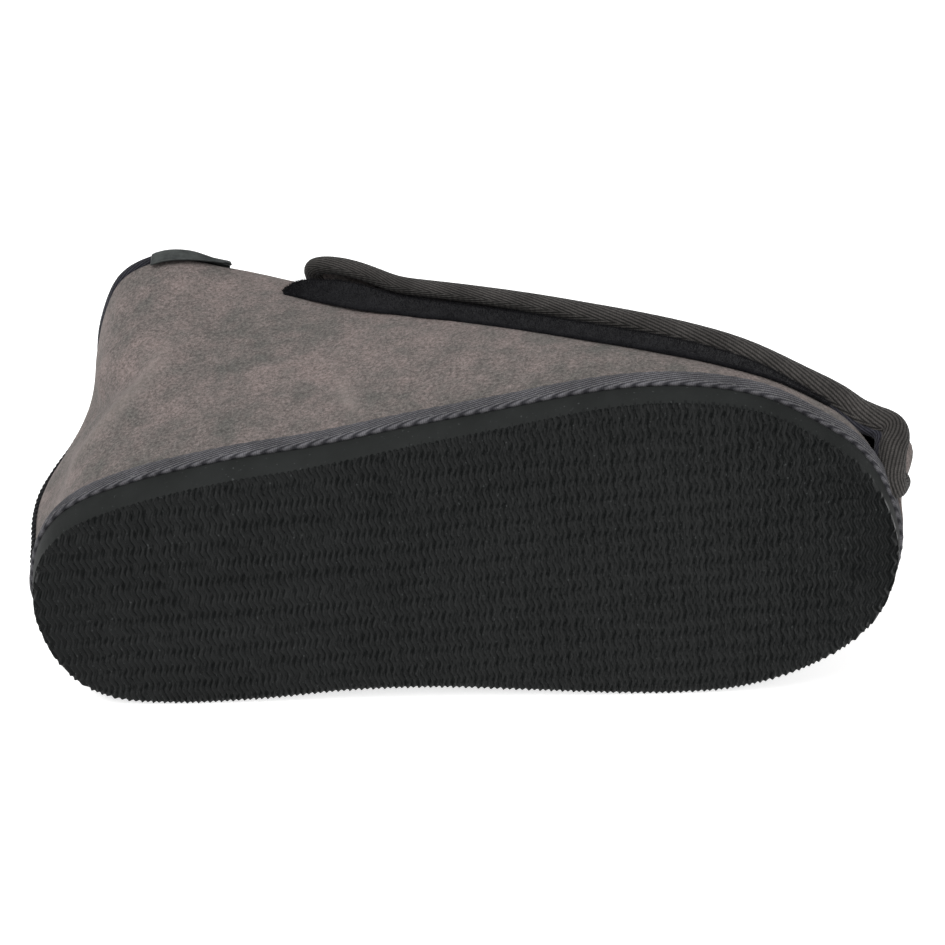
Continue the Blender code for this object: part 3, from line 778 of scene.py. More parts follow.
def herringbone(along: Array, across: Array, pitch: float, slant: float, band: float) -> Array:
    """Relief of herringbone ribs: a cosine of the distance across slanted, folded lines.

    Args:
        along: Length along the tape.
        across: Length across the tape.
        pitch: Distance between ribs.
        slant: Angle between the ribs and the tape, in radians.
        band: Width of a band before the slant turns over.

    Returns:
        Values from 0 in a groove to 1 on a rib.
    """
    folded = np.abs((across / band) % 2.0 - 1.0) * band
    phase = (folded * math.cos(slant) + along * math.sin(slant)) / pitch
    return 0.5 + 0.5 * np.cos(math.tau * phase)


def resampled(path: Array, extra: Array, spacing: float, soften: float) -> tuple[Array, Array, Array]:
    """Path at even spacing, softened by a short bell-shaped average.

    Args:
        path: Points along the path.
        extra: Vectors carried with the points.
        spacing: Distance between the new points.
        soften: Half width of the average.

    Returns:
        The points, the carried vectors and the running length.
    """
    run = running(path)
    at = np.linspace(0.0, run[-1], int(run[-1] / spacing) + 1)
    both = np.hstack([path, extra])
    even = np.column_stack([np.interp(at, run, column) for column in both.T])
    half = max(int(soften / spacing * 2), 1)
    bell = np.exp(-np.linspace(-2.0, 2.0, 2 * half + 1) ** 2)
    first = 2 * even[0] - even[half:0:-1]
    last = 2 * even[-1] - even[-2 : -half - 2 : -1]
    padded = np.vstack([first, even, last])
    soft = np.column_stack([np.convolve(c, bell / bell.sum(), "valid") for c in padded.T])
    return soft[:, :3], unit(soft[:, 3:]), at


def sweep(
    path: Array, normals: Array, run: Array, radius: Array, sides: int,
    relief: Callable[[Array, Array], Array],
) -> tuple[Array, Array]:
    """Round roll along a path, with round ends and a relief on its skin.

    Args:
        path: Points along the middle.
        normals: The way that is out at each.
        run: Running length.
        radius: The roll's radius at each point.
        sides: Points round it.
        relief: Height of the skin for lengths along and round the roll.

    Returns:
        The grid of points, and the lengths along and round for each.
    """
    ahead = unit(np.gradient(path, axis=0))
    out = unit(normals - np.sum(normals * ahead, axis=1, keepdims=True) * ahead)
    aside = np.cross(ahead, out)
    angle = np.arange(sides) / sides * math.tau + math.pi
    along, turn = np.meshgrid(run, np.arange(sides + 1) / sides * math.tau, indexing="ij")
    round_it = turn * radius.mean()
    end = np.minimum(run, run[-1] - run) / radius
    closing = np.sqrt(np.clip(1.0 - (1.0 - np.clip(end, 0.0, 1.0)) ** 2, 0.0, 1.0))
    reach = (radius[:, None] + relief(along, round_it)[:, :-1]) * closing[:, None]
    ring = np.cos(angle)[None, :, None] * out[:, None] + np.sin(angle)[None, :, None] * aside[:, None]
    return path[:, None] + ring * reach[..., None], np.stack([along, round_it], axis=-1)


@dataclass
class FoamSole:
    """Flat foam sole with a zigzag tread and a smooth side band."""

    form: SlipperForm
    columns: int = 860
    rows: int = 100
    even_share: float = 0.85
    ridge_pitch: float = 4.0 * MM
    zigzag_period: float = 7.4 * MM
    zigzag_reach: float = 0.75 * MM
    ridge_depth: float = 1.3 * MM
    ridge_profile: tuple[tuple[float, float], ...] = (
        (0.00, 1.00), (0.10, 0.75), (0.28, 0.10), (0.38, 0.20), (0.50, 0.80), (0.60, 0.55),
        (0.78, 0.00), (0.90, 0.20), (1.00, 1.00),
    )

    def tread(self, x: Array, y: Array) -> Array:
        """Height of the tread: two crests for each pitch, shifted by a triangle wave across it."""
        wave = np.abs((y / self.zigzag_period) % 1.0 * 2.0 - 1.0) * 2.0 - 1.0
        phase = ((x + wave * self.zigzag_reach) / self.ridge_pitch) % 1.0
        ridge = np.interp(phase, *np.array(self.ridge_profile).T)
        return self.ridge_depth * (1.0 - ridge)

    def numbers(self) -> Array:
        """Rib numbers spaced mostly evenly along the shoe, but closer round both ends."""
        fine = np.linspace(0.0, 1.0, 2000)
        x = self.form.outline_at(fine, np.zeros(fine.shape))[0][:, 0] / self.form.sole_length
        blend = self.even_share * np.maximum.accumulate(x) + (1.0 - self.even_share) * fine
        return np.interp(np.linspace(0.0, 1.0, self.columns), blend / blend[-1], fine)

    def build(self, tread_finish: bpy.types.Material, band_finish: bpy.types.Material) -> None:
        """Loft one closed loop of points for each rib, across the tread and over the top."""
        form = self.form
        number = self.numbers()
        share = np.linspace(0.0, 1.0, self.rows)[None, :, None]
        left, _ = form.outline_at(-number, np.zeros(self.columns))
        right, _ = form.outline_at(wrapped(number), np.zeros(self.columns))
        right[-1] = left[-1]
        flat = left[:, None] * (1 - share) + right[:, None] * share
        bottom = np.concatenate([flat, self.tread(flat[..., 0], flat[..., 1])[..., None]], axis=-1)
        levels = ((0.22, 0.25), (0.55, 0.75), (0.90, 1.00), (1.00, 0.85))
        walls = {}
        for side in Side:
            ribs = wrapped(number * side.value)
            wall = []
            for up, grow in levels:
                edge, _ = form.outline_at(ribs, np.full(self.columns, grow * form.sole_flare))
                wall.append(np.column_stack([edge, form.sole_top(edge[:, 0]) * up]))
            walls[side] = np.stack(wall, axis=1)
        for edge_end in (0, -1):
            walls[Side.LATERAL][edge_end] = walls[Side.MEDIAL][edge_end]
        points = np.concatenate([bottom, walls[Side.MEDIAL], walls[Side.LATERAL][:, ::-1]], axis=1)
        made = surface(form, "foam_sole", points, wrap=True)
        made.data.materials.append(tread_finish)
        local = (face_centers(made.data) - form.shift) @ form.turn
        is_band = (local[:, 2] > self.ridge_depth * 0.90).astype(np.int32)
        dress(made, Slot.FOAM, band_finish, node="outsole")
        made.data.polygons.foreach_set("material_index", is_band)
        made.data.set_sharp_from_angle(angle=math.radians(50))


@dataclass(frozen=True)
class Crease:
    """Soft ridge or trough through places on the upper.

    Height is how far the suede moves out (minus is in) and width is half the bell's width.
    """

    places: tuple[tuple[float, float], ...]
    height: float
    width: float

    def push(self, form: SlipperForm, points: Array) -> Array:
        """Move outwards by a bell of the distance to the line, fading at the line's ends."""
        knots = np.array(self.places)
        fine = np.linspace(0.0, len(knots) - 1.0, 8 * len(knots))
        order = np.arange(len(knots))
        ribs, heights = (np.interp(fine, order, knots[:, k]) for k in (0, 1))
        line = form.skin(ribs, heights)
        ends = np.sin(np.linspace(0.12, math.pi - 0.12, len(line)))
        total = np.zeros(points.shape[:-1])
        for spot, fade in zip(line, ends):
            away = np.sum((points - spot) ** 2, axis=-1)
            total = np.maximum(total, fade * np.exp(-away / self.width**2))
        return self.height * total


@dataclass
class SuedeUpper:
    """Hollow suede upper with its plush lining."""

    form: SlipperForm
    columns: int = 320
    rows: int = 84
    panel_corner: float = 0.400
    throat_start: float = 0.470
    throat_height: float = 0.880
    throat_closing: float = 0.780
    throat_end: float = 0.860
    scuff: Crease = Crease(((-0.380, 0.14), (-0.392, 0.06), (-0.402, 0.03)), 0.35 * MM, 2.2 * MM)
    creases: tuple[Crease, ...] = (
        Crease(
            ((-0.215, 0.60), (-0.190, 0.47), (-0.152, 0.35), (-0.128, 0.30), (-0.085, 0.29)),
            2.2 * MM, 4.5 * MM,
        ),
        Crease(((-0.170, 0.48), (-0.115, 0.54), (-0.070, 0.64), (-0.050, 0.84)), -6.4 * MM, 9.0 * MM),
        Crease(((0.000, 0.30), (0.000, 0.48), (0.000, 0.68)), 2.4 * MM, 8.0 * MM),
        Crease(((-0.260, 0.62), (-0.235, 0.42), (-0.195, 0.28), (-0.150, 0.17)), -1.0 * MM, 8.0 * MM),
        Crease(((-0.300, 0.80), (-0.310, 0.55), (-0.330, 0.35)), 0.6 * MM, 12.0 * MM),
        Crease(((-0.370, 0.70), (-0.390, 0.45), (-0.420, 0.25)), -0.6 * MM, 10.0 * MM),
        Crease(((-0.480, 0.42), (-0.540, 0.30), (-0.600, 0.22)), 0.4 * MM, 9.0 * MM),
        Crease(((-0.660, 0.42), (-0.700, 0.30), (-0.730, 0.20)), -0.4 * MM, 7.0 * MM),
        Crease(((0.120, 0.72), (0.160, 0.50), (0.200, 0.36), (0.230, 0.25)), -1.2 * MM, 7.0 * MM),
        Crease(((0.300, 0.75), (0.320, 0.50), (0.340, 0.30)), -0.9 * MM, 10.0 * MM),
    )

    def top(self, rib: Array) -> Array:
        """Height where the upper ends: the rim, then lower along the throat under the flap."""
        number = np.abs(rib)
        dip = smooth_step(self.panel_corner, self.throat_start, number)
        dip = dip - smooth_step(self.throat_closing, self.throat_end, number)
        return 1.0 - (1.0 - self.throat_height) * dip

    def ridge_highlight_and_scuff(self, points: Array) -> Array:
        """How much paler the nap is painted, from 0 to 1: a painted highlight along the first ridge, where
        light catches it, and the scuff.
        """
        total = np.zeros(points.shape[:-1])
        for crease in (self.creases[0], self.scuff):
            total = np.maximum(total, crease.push(self.form, points) / crease.height)
        return total

    def push(self, points: Array, heights: Array) -> Array:
        """Distance outwards at places on the skin, nothing near the seams at foot and rim."""
        total = sum(crease.push(self.form, points) for crease in self.creases)
        return total * smooth_step(0.03, 0.10, heights) * (1.0 - smooth_step(0.93, 1.0, heights))

    def build(self, suede: bpy.types.Material, lining: bpy.types.Material) -> None:
        """Take a dense patch of the skin, press the creases into it and thicken it inwards."""
        form = self.form
        ribs = wrapped(np.linspace(-1.0, 1.0, self.columns + 1))
        heights = np.linspace(0.0, 1.0, self.rows + 1)[None, :] * self.top(ribs)[:, None]
        points = form.skin(ribs[:, None], heights)
        normals = form.skin_normal(ribs[:, None], heights)
        # Mask of the painted highlight along the first ridge, and of the scuff, on the points.
        ridge_highlight_and_scuff = self.ridge_highlight_and_scuff(points)
        points = points + normals * self.push(points, heights)[..., None]
        made = surface(form, "suede_upper", points, ridge_highlight_and_scuff=ridge_highlight_and_scuff, outward=(-0.3, 0.5))
        thicken(made, form.wall, -1.0, inner=1)
        dress(made, Slot.SUEDE, suede, lining, node="upper")


@dataclass
class ClosingFlap:
    """Long front flap: its suede, its rolled edge tape and the pile strip under it."""

    form: SlipperForm
    thick: float = 3.5 * MM
    thin_toe: float = 1.8 * MM
    stand_off: float = 2.9 * MM
    tip_stand_off: float = 1.6 * MM
    toe_stand_off: float = 6.5 * MM
    stand_off_power: float = 1.3
    edge_even_from: float = 0.860
    thin_span: tuple[float, float] = (0.860, 0.970)
    tip_span: tuple[float, float] = (0.375, 0.470)
    toe_span: tuple[float, float] = (0.890, 0.935)
    toe_fade: tuple[float, float] = (0.945, 0.990)
    foot_fade: tuple[float, float] = (0.080, 0.360)
    clearance: float = 0.7 * MM
    sole_tape_height: float = 7.2 * MM
    lateral_start: float = 0.375
    medial_start: float = 0.400
    tip_slant: float = 0.068
    tape_end: float = 0.946
    tape_rise: float = 0.060
    tape_radius: float = 3.2 * MM
    toe_radius: float = 4.8 * MM
    tape_spacing: float = 0.7 * MM
    swell_span: tuple[float, float] = (0.40, 0.85)
    swell_end: tuple[float, float] = (0.95, 1.00)
    swell_loss: float = 0.8
    swell_aside: float = 0.9
    rib_pitch: float = 1.0 * MM
    rib_slant: float = 0.20
    rib_depth: float = 0.12 * MM
    under_radius: float = 2.0 * MM
    under_span: tuple[float, float] = (0.78, 0.955)
    tuck: float = 2.8 * MM
    least_mitre: float = 0.62
    strip_thick: float = 1.8 * MM
    rib_step: float = 0.005
    rows: int = 48
    hairs: int = 24000

    def low(self, ribs: Array) -> Array:
        """Height where the flap ends: its edge table, but above the tape at the sole."""
        number = np.abs(ribs)
        edge = np.where(ribs < 0, table(FLAP_EDGES, 1, number), table(FLAP_EDGES, 2, number))
        above = self.form.heights_up(ribs, np.array([self.sole_tape_height + 3 * self.form.gap]))
        return np.maximum(edge, above[:, 0])

    def thickness(self, ribs: Array) -> Array:
        """Thickness of the flap, less round the toe."""
        return self.thick - self.thin_toe * smooth_step(*self.thin_span, np.abs(ribs))

    def slanted(self, ribs: Array, share: Array) -> Array:
        """Lateral ribs moved towards the toe near the tip, the more the nearer the crest."""
        left = (self.form.rim_end - np.abs(ribs)) / (self.form.rim_end - self.lateral_start)
        return np.where(ribs < 0, ribs - self.tip_slant * np.clip(left, 0.0, 1.1) * share, ribs)

    def lift(self, rib: Array, height: Array) -> Array:
        """Distance from the skin to the flap's inner face, growing towards the free edge."""
        number = np.abs(rib)
        edge = table(FLAP_EDGES, 1, np.minimum(number, self.edge_even_from))
        across = np.clip((1.0 - height) / (1.0 - edge), 0.0, 1.0)
        size = self.stand_off + self.toe_stand_off * smooth_step(*self.toe_span, number)
        size = size + self.tip_stand_off * (1.0 - smooth_step(*self.tip_span, number))
        fade = 1.0 - smooth_step(*self.toe_fade, number)
        fade = fade * smooth_step(*self.foot_fade, height) * np.where(rib < 0, 1.0, 0.0)
        return self.clearance + size * across**self.stand_off_power * fade

    def point(self, rib: Array, height: Array, rise: Array) -> Array:
        """Point above the flap's inner face by rise."""
        lift = self.lift(rib, height) + rise
        return self.form.skin(rib, height) + self.form.skin_normal(rib, height) * lift[..., None]

    def ribs(self) -> Array:
        """Signed rib numbers from the lateral top round the toe to the medial top."""
        lateral = np.arange(self.lateral_start, 1.0 + self.rib_step / 2, self.rib_step)
        medial = lateral[lateral > self.medial_start - self.rib_step / 2][::-1]
        return np.concatenate([-lateral, medial[1:]])

    def build_suede(self, suede: bpy.types.Material) -> None:
        """Loft the flap's two faces over instep and toe, and close them along its edges.

        The free edge goes on by the tuck, which ends inside the rolled tape.
        """
        form = self.form
        ribs = np.concatenate([[-self.lateral_start + self.tuck / form.sole_length], self.ribs()])
        share = np.linspace(0.0, 1.0, self.rows + 1)[None, :]
        free = (ribs < 0) & (ribs > -self.tape_end)
        low = self.low(ribs) - np.where(free, self.tuck / form.rib_lengths(ribs), 0.0)
        heights = low[:, None] * (1 - share) + share
        wide = self.slanted(np.broadcast_to(ribs[:, None], heights.shape), share)
        on_crest = np.abs(ribs) > form.rim_end - 0.001
        number = np.abs(ribs[on_crest])
        ridge = unit(form.skin_normal(number, 0.97) + form.skin_normal(-number, 0.97))
        faces = []
        for rise in (np.zeros(wide.shape), self.thickness(wide)):
            face = self.point(wide, heights, rise)
            above = self.clearance + rise[on_crest, -1]
            face[on_crest, -1] = form.skin(number, 1.0) + ridge * above[:, None]
            faces.append(face)
        dress(shell(form, "suede_flap", faces[0], faces[1], ~on_crest), Slot.SUEDE, suede, node="flap")

    def edge_path(self) -> tuple[Array, Array]:
        """Signed ribs and heights along the bound edge, from the medial top to the toe."""
        ribs = self.ribs()
        top = np.abs(ribs) < self.form.rim_end + 0.001
        medial, lateral = ribs[top & (ribs > 0)][::-1], ribs[top & (ribs < 0)][::-1]
        across = np.concatenate([medial[:-1], self.slanted(lateral, np.ones(lateral.shape))])
        across = np.where((np.abs(across) > self.form.rim_end - 0.001), -self.form.rim_end, across)
        share = np.linspace(0.9, 0.1, 6)
        start = np.full(share.shape, -self.lateral_start)
        free = ribs[(ribs < 0) & (ribs > -self.tape_end)]
        end = np.array([-self.tape_end])
        places = np.concatenate([across, self.slanted(start, share), free, end])
        tip = self.low(start) * (1 - share) + share
        heights = [np.ones(len(across)), tip, self.low(free), self.low(end) + self.tape_rise]
        return places, np.concatenate(heights)

    def beside_edge(self, points: Array, normals: Array, distance: float) -> Array:
        """Path beside an edge, moved along the surface and mitred at its corners."""
        sideways = unit(np.cross(np.diff(points, axis=0), 0.5 * (normals[:-1] + normals[1:])))
        before = np.vstack([sideways[:1], sideways])
        after = np.vstack([sideways, sideways[-1:]])
        away = unit(before + after)
        mitre = 1.0 / np.maximum(np.sum(away * before, axis=1), self.least_mitre)
        return points + away * (distance * mitre)[:, None]

    def build_tape(self, twill: bpy.types.Material, under: bpy.types.Material) -> None:
        """Sweep the rolled tape along the flap's top and free edge, thicker towards the toe."""
        ribs, heights = self.edge_path()
        middle = self.point(ribs, heights, self.thickness(ribs) / 2)
        normals = self.form.skin_normal(ribs, np.minimum(heights, 0.97))
        keep = np.concatenate([[True], np.linalg.norm(np.diff(middle, axis=0), axis=1) > 0.2 * MM])
        middle, normals = middle[keep], normals[keep]
        edge = self.beside_edge(middle, normals, self.tape_radius + 2 * self.form.gap)
        round_path, round_normals, _ = resampled(edge, normals, self.tape_spacing, 10.0 * MM)
        path, normals, run = resampled(edge, normals, self.tape_spacing, 2.4 * MM)
        sharp = smooth_step(0.30, 0.50, run / run[-1])[:, None]
        path = round_path * (1 - sharp) + path * sharp
        normals = unit(round_normals * (1 - sharp) + normals * sharp)
        band = math.pi * self.tape_radius

        def relief(along: Array, across: Array) -> Array:
            """Ribs that stand on the roll's skin."""
            ribs = herringbone(along, across, self.rib_pitch, self.rib_slant, band)
            return self.rib_depth * (ribs - 0.7)

        share = run / run[-1]
        near_toe = smooth_step(*self.swell_span, share)
        near_toe = near_toe - self.swell_loss * smooth_step(*self.swell_end, share)
        thicker = ((self.toe_radius - self.tape_radius) * near_toe)[:, None]
        aside = unit(np.cross(np.gradient(path, axis=0), normals))
        path = path - normals * thicker + aside * (self.swell_aside * thicker)
        points, uv = sweep(path, normals, run, self.tape_radius + thicker[:, 0], 112, relief)
        made = surface(self.form, "flap_edge_tape", points, wrap=True, uv=uv)
        dress(made, Slot.TWILL, twill, node="flap_tape")
        self.build_under_tape(under, path, normals, run)

    def build_under_tape(
        self, twill: bpy.types.Material, path: Array, normals: Array, run: Array,
    ) -> None:
        """Sweep the second, thinner tape that shows between the roll and the shoe near the toe."""
        share = run / run[-1]
        part = (share > self.under_span[0]) & (share < self.under_span[1])
        aside = unit(np.cross(np.gradient(path, axis=0), normals))
        sink = self.toe_radius * 0.95
        below = path - normals * sink + aside * 0.35 * self.tape_radius
        line, out, along = resampled(below[part], normals[part], 0.8 * MM, 3.0 * MM)

        def plain(lengths: Array, turns: Array) -> Array:
            """Even skin, whose ribs come from the finish."""
            return np.zeros(lengths.shape)

        points, uv = sweep(line, out, along, np.full(len(line), self.under_radius), 40, plain)
        made = surface(self.form, "flap_under_tape", points, wrap=True, uv=uv)
        dress(made, Slot.TWILL, twill)

    def build_strip(self, pile: bpy.types.Material) -> None:
        """Lay the strip's backing on the panel and plant short bent hairs on it."""
        form = self.form
        number = np.linspace(PILE_STRIP[0][0], PILE_STRIP[-1][0], 200)
        low, high = table(PILE_STRIP, 1, number), table(PILE_STRIP, 2, number)
        share = np.linspace(0.0, 1.0, 24)[None, :]
        heights = low[:, None] * (1 - share) + high[:, None] * share
        wide = np.broadcast_to(-number[:, None], heights.shape)
        points = form.skin(wide, heights) + form.skin_normal(wide, heights) * form.gap
        made = surface(form, "pile_backing", points, outward=(-0.6, 0.55))
        thicken(made, self.strip_thick * 0.5, 1.0)
        dress(made, Slot.PILE, pile, node="pile_strip")
        self.plant_hairs(pile, number, low, high)

    def plant_hairs(self, pile: bpy.types.Material, number: Array, low: Array, high: Array) -> None:
        """Thin three-sided spikes at seeded random places, leaning at random."""
        form = self.form
        random = np.random.default_rng(11)
        at = random.uniform(number[0], number[-1], self.hairs)
        share = random.uniform(-0.03, 1.0, self.hairs)
        height = np.interp(at, number, low) * (1 - share) + np.interp(at, number, high) * share
        out = form.skin_normal(-at, height)
        root = form.skin(-at, height) + out * (form.gap + 0.3 * self.strip_thick)
        lean = random.normal(0.0, 0.45, (self.hairs, 3))
        length = self.strip_thick * random.uniform(0.5, 0.95, self.hairs)
        tip = root + unit(out + lean) * length[:, None]
        aside = unit(np.cross(out, random.normal(size=(self.hairs, 3))))
        other = np.cross(out, aside)
        width = 0.09 * MM
        turns = np.arange(3) / 3 * math.tau
        base = [root + (aside * math.cos(t) + other * math.sin(t)) * width for t in turns]
        points = form.place(np.stack(base + [tip], axis=1).reshape(-1, 3))
        first = np.arange(self.hairs)[:, None] * 4
        faces = np.array([[0, 2, 1], [0, 1, 3], [1, 2, 3], [2, 0, 3]])
        mesh = bpy.data.meshes.new("pile_hairs")
        mesh.from_pydata(points, [], (first[:, :, None] + faces[None]).reshape(-1, 3))
        dress(linked("pile_hairs", mesh), Slot.PILE, pile)


@dataclass
class SoleTape:
    """Flat tape round the foot of the upper, standing on the foam sole."""

    form: SlipperForm
    thick: float = 2.0 * MM
    height: float = 7.2 * MM
    columns: int = 1100
    rows: int = 62
    rib_pitch: float = 1.1 * MM
    rib_slant: float = 0.22
    rib_band: float = 14.653 * MM
    section: tuple[tuple[float, float], ...] = (
        (0.00, 0.70), (0.05, 0.90), (0.25, 1.00), (0.70, 1.00), (0.90, 0.80), (1.00, 0.45),
    )
    rib_depth: float = 0.14 * MM
    stitches: int = 160
    stitch_reach: float = 1.0 * MM
    stitch_radius: float = 0.14 * MM

    def build(self, twill: bpy.types.Material) -> None:
        """Loft the tape's section: a back on the skin and a rounded, ribbed face."""
        form = self.form
        ribs = wrapped(np.linspace(-1.0, 1.0, self.columns + 1))
        share = np.linspace(0.0, 1.0, self.rows)
        bulge = np.interp(share, *np.array(self.section).T)
        shares = np.concatenate([share, [1.0, 0.0]])
        heights = form.heights_up(ribs, shares * self.height)
        edge, _ = form.outline_at(ribs, np.zeros(ribs.shape))
        run = running(edge)
        along, across = np.meshgrid(run, share * self.height, indexing="ij")
        rib_wave = herringbone(along, across, self.rib_pitch, -self.rib_slant, self.rib_band)
        fade = smooth_step(0.0, 0.30, share) * smooth_step(0.0, 0.05, 1.0 - share)
        face = form.gap + bulge * self.thick + self.rib_depth * (rib_wave - 0.8) * fade
        back = np.full((len(ribs), 2), form.gap)
        distance = np.concatenate([face, back], axis=1)
        wide = np.broadcast_to(ribs[:, None], heights.shape)
        normals = form.skin_normal(wide, np.maximum(heights, 0.01))
        normals[..., 2] *= smooth_step(0.0, 0.12, shares)[None, :]
        points = form.skin(wide, heights) + unit(normals) * distance[..., None]
        shares = np.append(shares, 0.0)
        uv = np.stack(np.meshgrid(run, shares * self.height, indexing="ij"), axis=-1)
        made = surface(form, "sole_binding", points, wrap=True, uv=uv)
        dress(made, Slot.TWILL, twill, node="sole_tape")

    def build_stitches(self, thread: bpy.types.Material) -> None:
        """Row of small spindle stitches along the tape's lower edge, all in one mesh."""
        form = self.form
        ribs = wrapped(np.arange(self.stitches) / self.stitches * 2.0 - 1.0)
        heights = form.heights_up(ribs, np.array([0.16 * self.height]))[:, 0]
        out = form.skin_normal(ribs, np.maximum(heights, 0.01))
        middle = form.skin(ribs, heights) + out * (form.gap + self.thick * 0.98)
        ahead = form.skin(wrapped(ribs + form.skin_step), heights) - form.skin(ribs, heights)
        ahead = unit(ahead - np.sum(ahead * out, axis=1, keepdims=True) * out)
        aside = np.cross(out, ahead)
        along = np.array([-1.0, -0.5, 0.5, 1.0])
        girth = np.sqrt(1.0 - along**2)
        angle = np.arange(6) / 6 * math.tau
        ring = np.cos(angle)[:, None, None] * out + np.sin(angle)[:, None, None] * aside
        points = [
            middle + ahead * step * self.stitch_reach + ring * wide * self.stitch_radius
            for step, wide in zip(along, girth)
        ]
        points = np.stack(points).transpose(2, 0, 1, 3)
        faces = grid_faces(4, 6, True)[None] + (np.arange(self.stitches) * 24)[:, None, None]
        mesh = bpy.data.meshes.new("binding_stitches")
        mesh.from_pydata(form.place(points.reshape(-1, 3)), [], faces.reshape(-1, 4))
        made = linked("binding_stitches", mesh, MERGE / 10)
        mesh.shade_smooth()
        dress(made, Slot.CORD, thread)


@dataclass
class Collar:
    """What finishes the collar and the heel: rolled tape, leather label and overlocked seam."""

    form: SlipperForm
    upper: SuedeUpper
    tape_radius: float = 2.3 * MM
    tape_span: tuple[float, float] = (-0.252, 0.325)
    label_span: tuple[float, float] = (0.180, 0.280)
    label_thick: float = 0.8 * MM
    label_drop: float = 4.0 * MM
    cord_radius: float = 1.1 * MM
    cord_span: tuple[float, float] = (0.095, 0.985)
    cord_sway: float = 0.6 * MM
    stitch_pitch: float = 2.6 * MM

    def build_tape(self, twill: bpy.types.Material) -> None:
        """Sweep the rolled tape along the rim."""
        ribs = np.linspace(*self.tape_span, 400)
        outward, up = self.form.rim_frame(ribs)
        path = self.form.skin(ribs, 1.0) - outward * self.form.wall / 2
        path = path + up * (self.tape_radius + 2 * self.form.gap)
        path, normals, run = resampled(path, outward, 0.8 * MM, 1.6 * MM)
        band = math.pi * self.tape_radius

        def relief(along: Array, across: Array) -> Array:
            """Fine ribs along the roll."""
            return 0.10 * MM * (herringbone(along, across, 0.9 * MM, 0.25, band) - 0.7)

        points, uv = sweep(path, normals, run, np.full(len(run), self.tape_radius), 72, relief)
        made = surface(self.form, "collar_binding", points, wrap=True, uv=uv)
        dress(made, Slot.TWILL, twill, node="collar_tape")

    def build_label(self, leather: bpy.types.Material) -> None:
        """Loft a folded strip of leather over the tape, with rounded folds and soft ends."""
        form = self.form
        ribs = -np.linspace(*self.label_span, 90)
        outside = self.tape_radius - form.wall / 2 + 3 * form.gap
        inside = outside + form.wall + 4 * form.gap
        over = 2 * self.tape_radius + form.gap
        middle, half = (outside - inside) / 2, (outside + inside) / 2
        arc = np.linspace(0.0, math.pi, 28)
        drop = np.linspace(-self.label_drop, over - half, 14)[:-1]
        outward, up = form.rim_frame(ribs)
        top = form.skin(ribs, 1.0)
        run = running(top)
        end = np.clip(np.minimum(run, run[-1] - run) / (1.5 * MM), 0.0, 1.0)
        skin = self.label_thick * (0.55 + 0.45 * np.sqrt(end))
        slope = 1.0 - 0.75 * smooth_step(0.20, 1.0, run / run[-1])
        lower = 2.6 * MM * smooth_step(0.45, 1.0, run / run[-1])

        def line(reach: Array) -> tuple[Array, Array]:
            """Offsets out and up of one face of the folded strip."""
            bend = half + reach[:, None]
            fall = np.where(drop < 0, slope[:, None], 1.0) * drop[None, :]
            out_leg = np.broadcast_to(middle + bend, (len(ribs), len(drop)))
            in_leg = np.broadcast_to(middle - bend, (len(ribs), len(drop)))
            out = np.concatenate([out_leg, middle + bend * np.cos(arc), in_leg], axis=1)
            rise = over - half + bend * np.sin(arc) - lower[:, None]
            return out, np.concatenate([fall, rise, fall[:, ::-1]], axis=1)

        inner_out, inner_up = line(np.zeros(len(ribs)))
        outer_out, outer_up = line(skin)
        out = np.concatenate([inner_out, outer_out[:, ::-1]], axis=1)
        rise = np.concatenate([inner_up, outer_up[:, ::-1]], axis=1)
        points = top[:, None] + outward[:, None] * out[..., None] + up[:, None] * rise[..., None]
        half_way = points.shape[1] // 2
        for row in (0, -1):
            lips = 0.5 * (points[row] + points[row, ::-1])
            points[row] = np.concatenate([lips[:half_way], lips[:half_way][::-1]])
        made = surface(form, "leather_label", points, wrap=True)
        dress(made, Slot.LEATHER, leather, node="label")

    def build_seam(self, thread: bpy.types.Material) -> None:
        """Twisted overlock thread: a cord whose middle zigzags and whose skin swells each stitch."""
        heights = np.linspace(*self.cord_span, 500)
        ribs = np.zeros(heights.shape)
        out = self.form.skin_normal(ribs, heights)
        path = self.form.skin(ribs, heights)
        path = path + out * (self.upper.push(path, heights) + 0.35 * self.cord_radius)[:, None]
        path, out, run = resampled(path, out, 0.25 * MM, 0.5 * MM)
        turn = math.tau * run / self.stitch_pitch
        aside = unit(np.cross(np.gradient(path, axis=0), out))
        path = path + aside * (np.sin(turn) * self.cord_sway)[:, None]
        path = path + out * (np.cos(turn) * 0.25 * self.cord_sway)[:, None]

        def relief(along: Array, across: Array) -> Array:
            """Plies of the thread, wound round it."""
            plies = np.cos(3 * across / self.cord_radius - math.tau * along / (1.4 * MM))
            swell = np.cos(2 * math.tau * along / self.stitch_pitch)
            return 0.10 * MM * plies + 0.16 * MM * swell - 0.30 * MM

        points, uv = sweep(path, out, run, np.full(len(run), self.cord_radius), 24, relief)
        made = surface(self.form, "overlock_seam", points, wrap=True, uv=uv)
        dress(made, Slot.CORD, thread, node="back_cord")


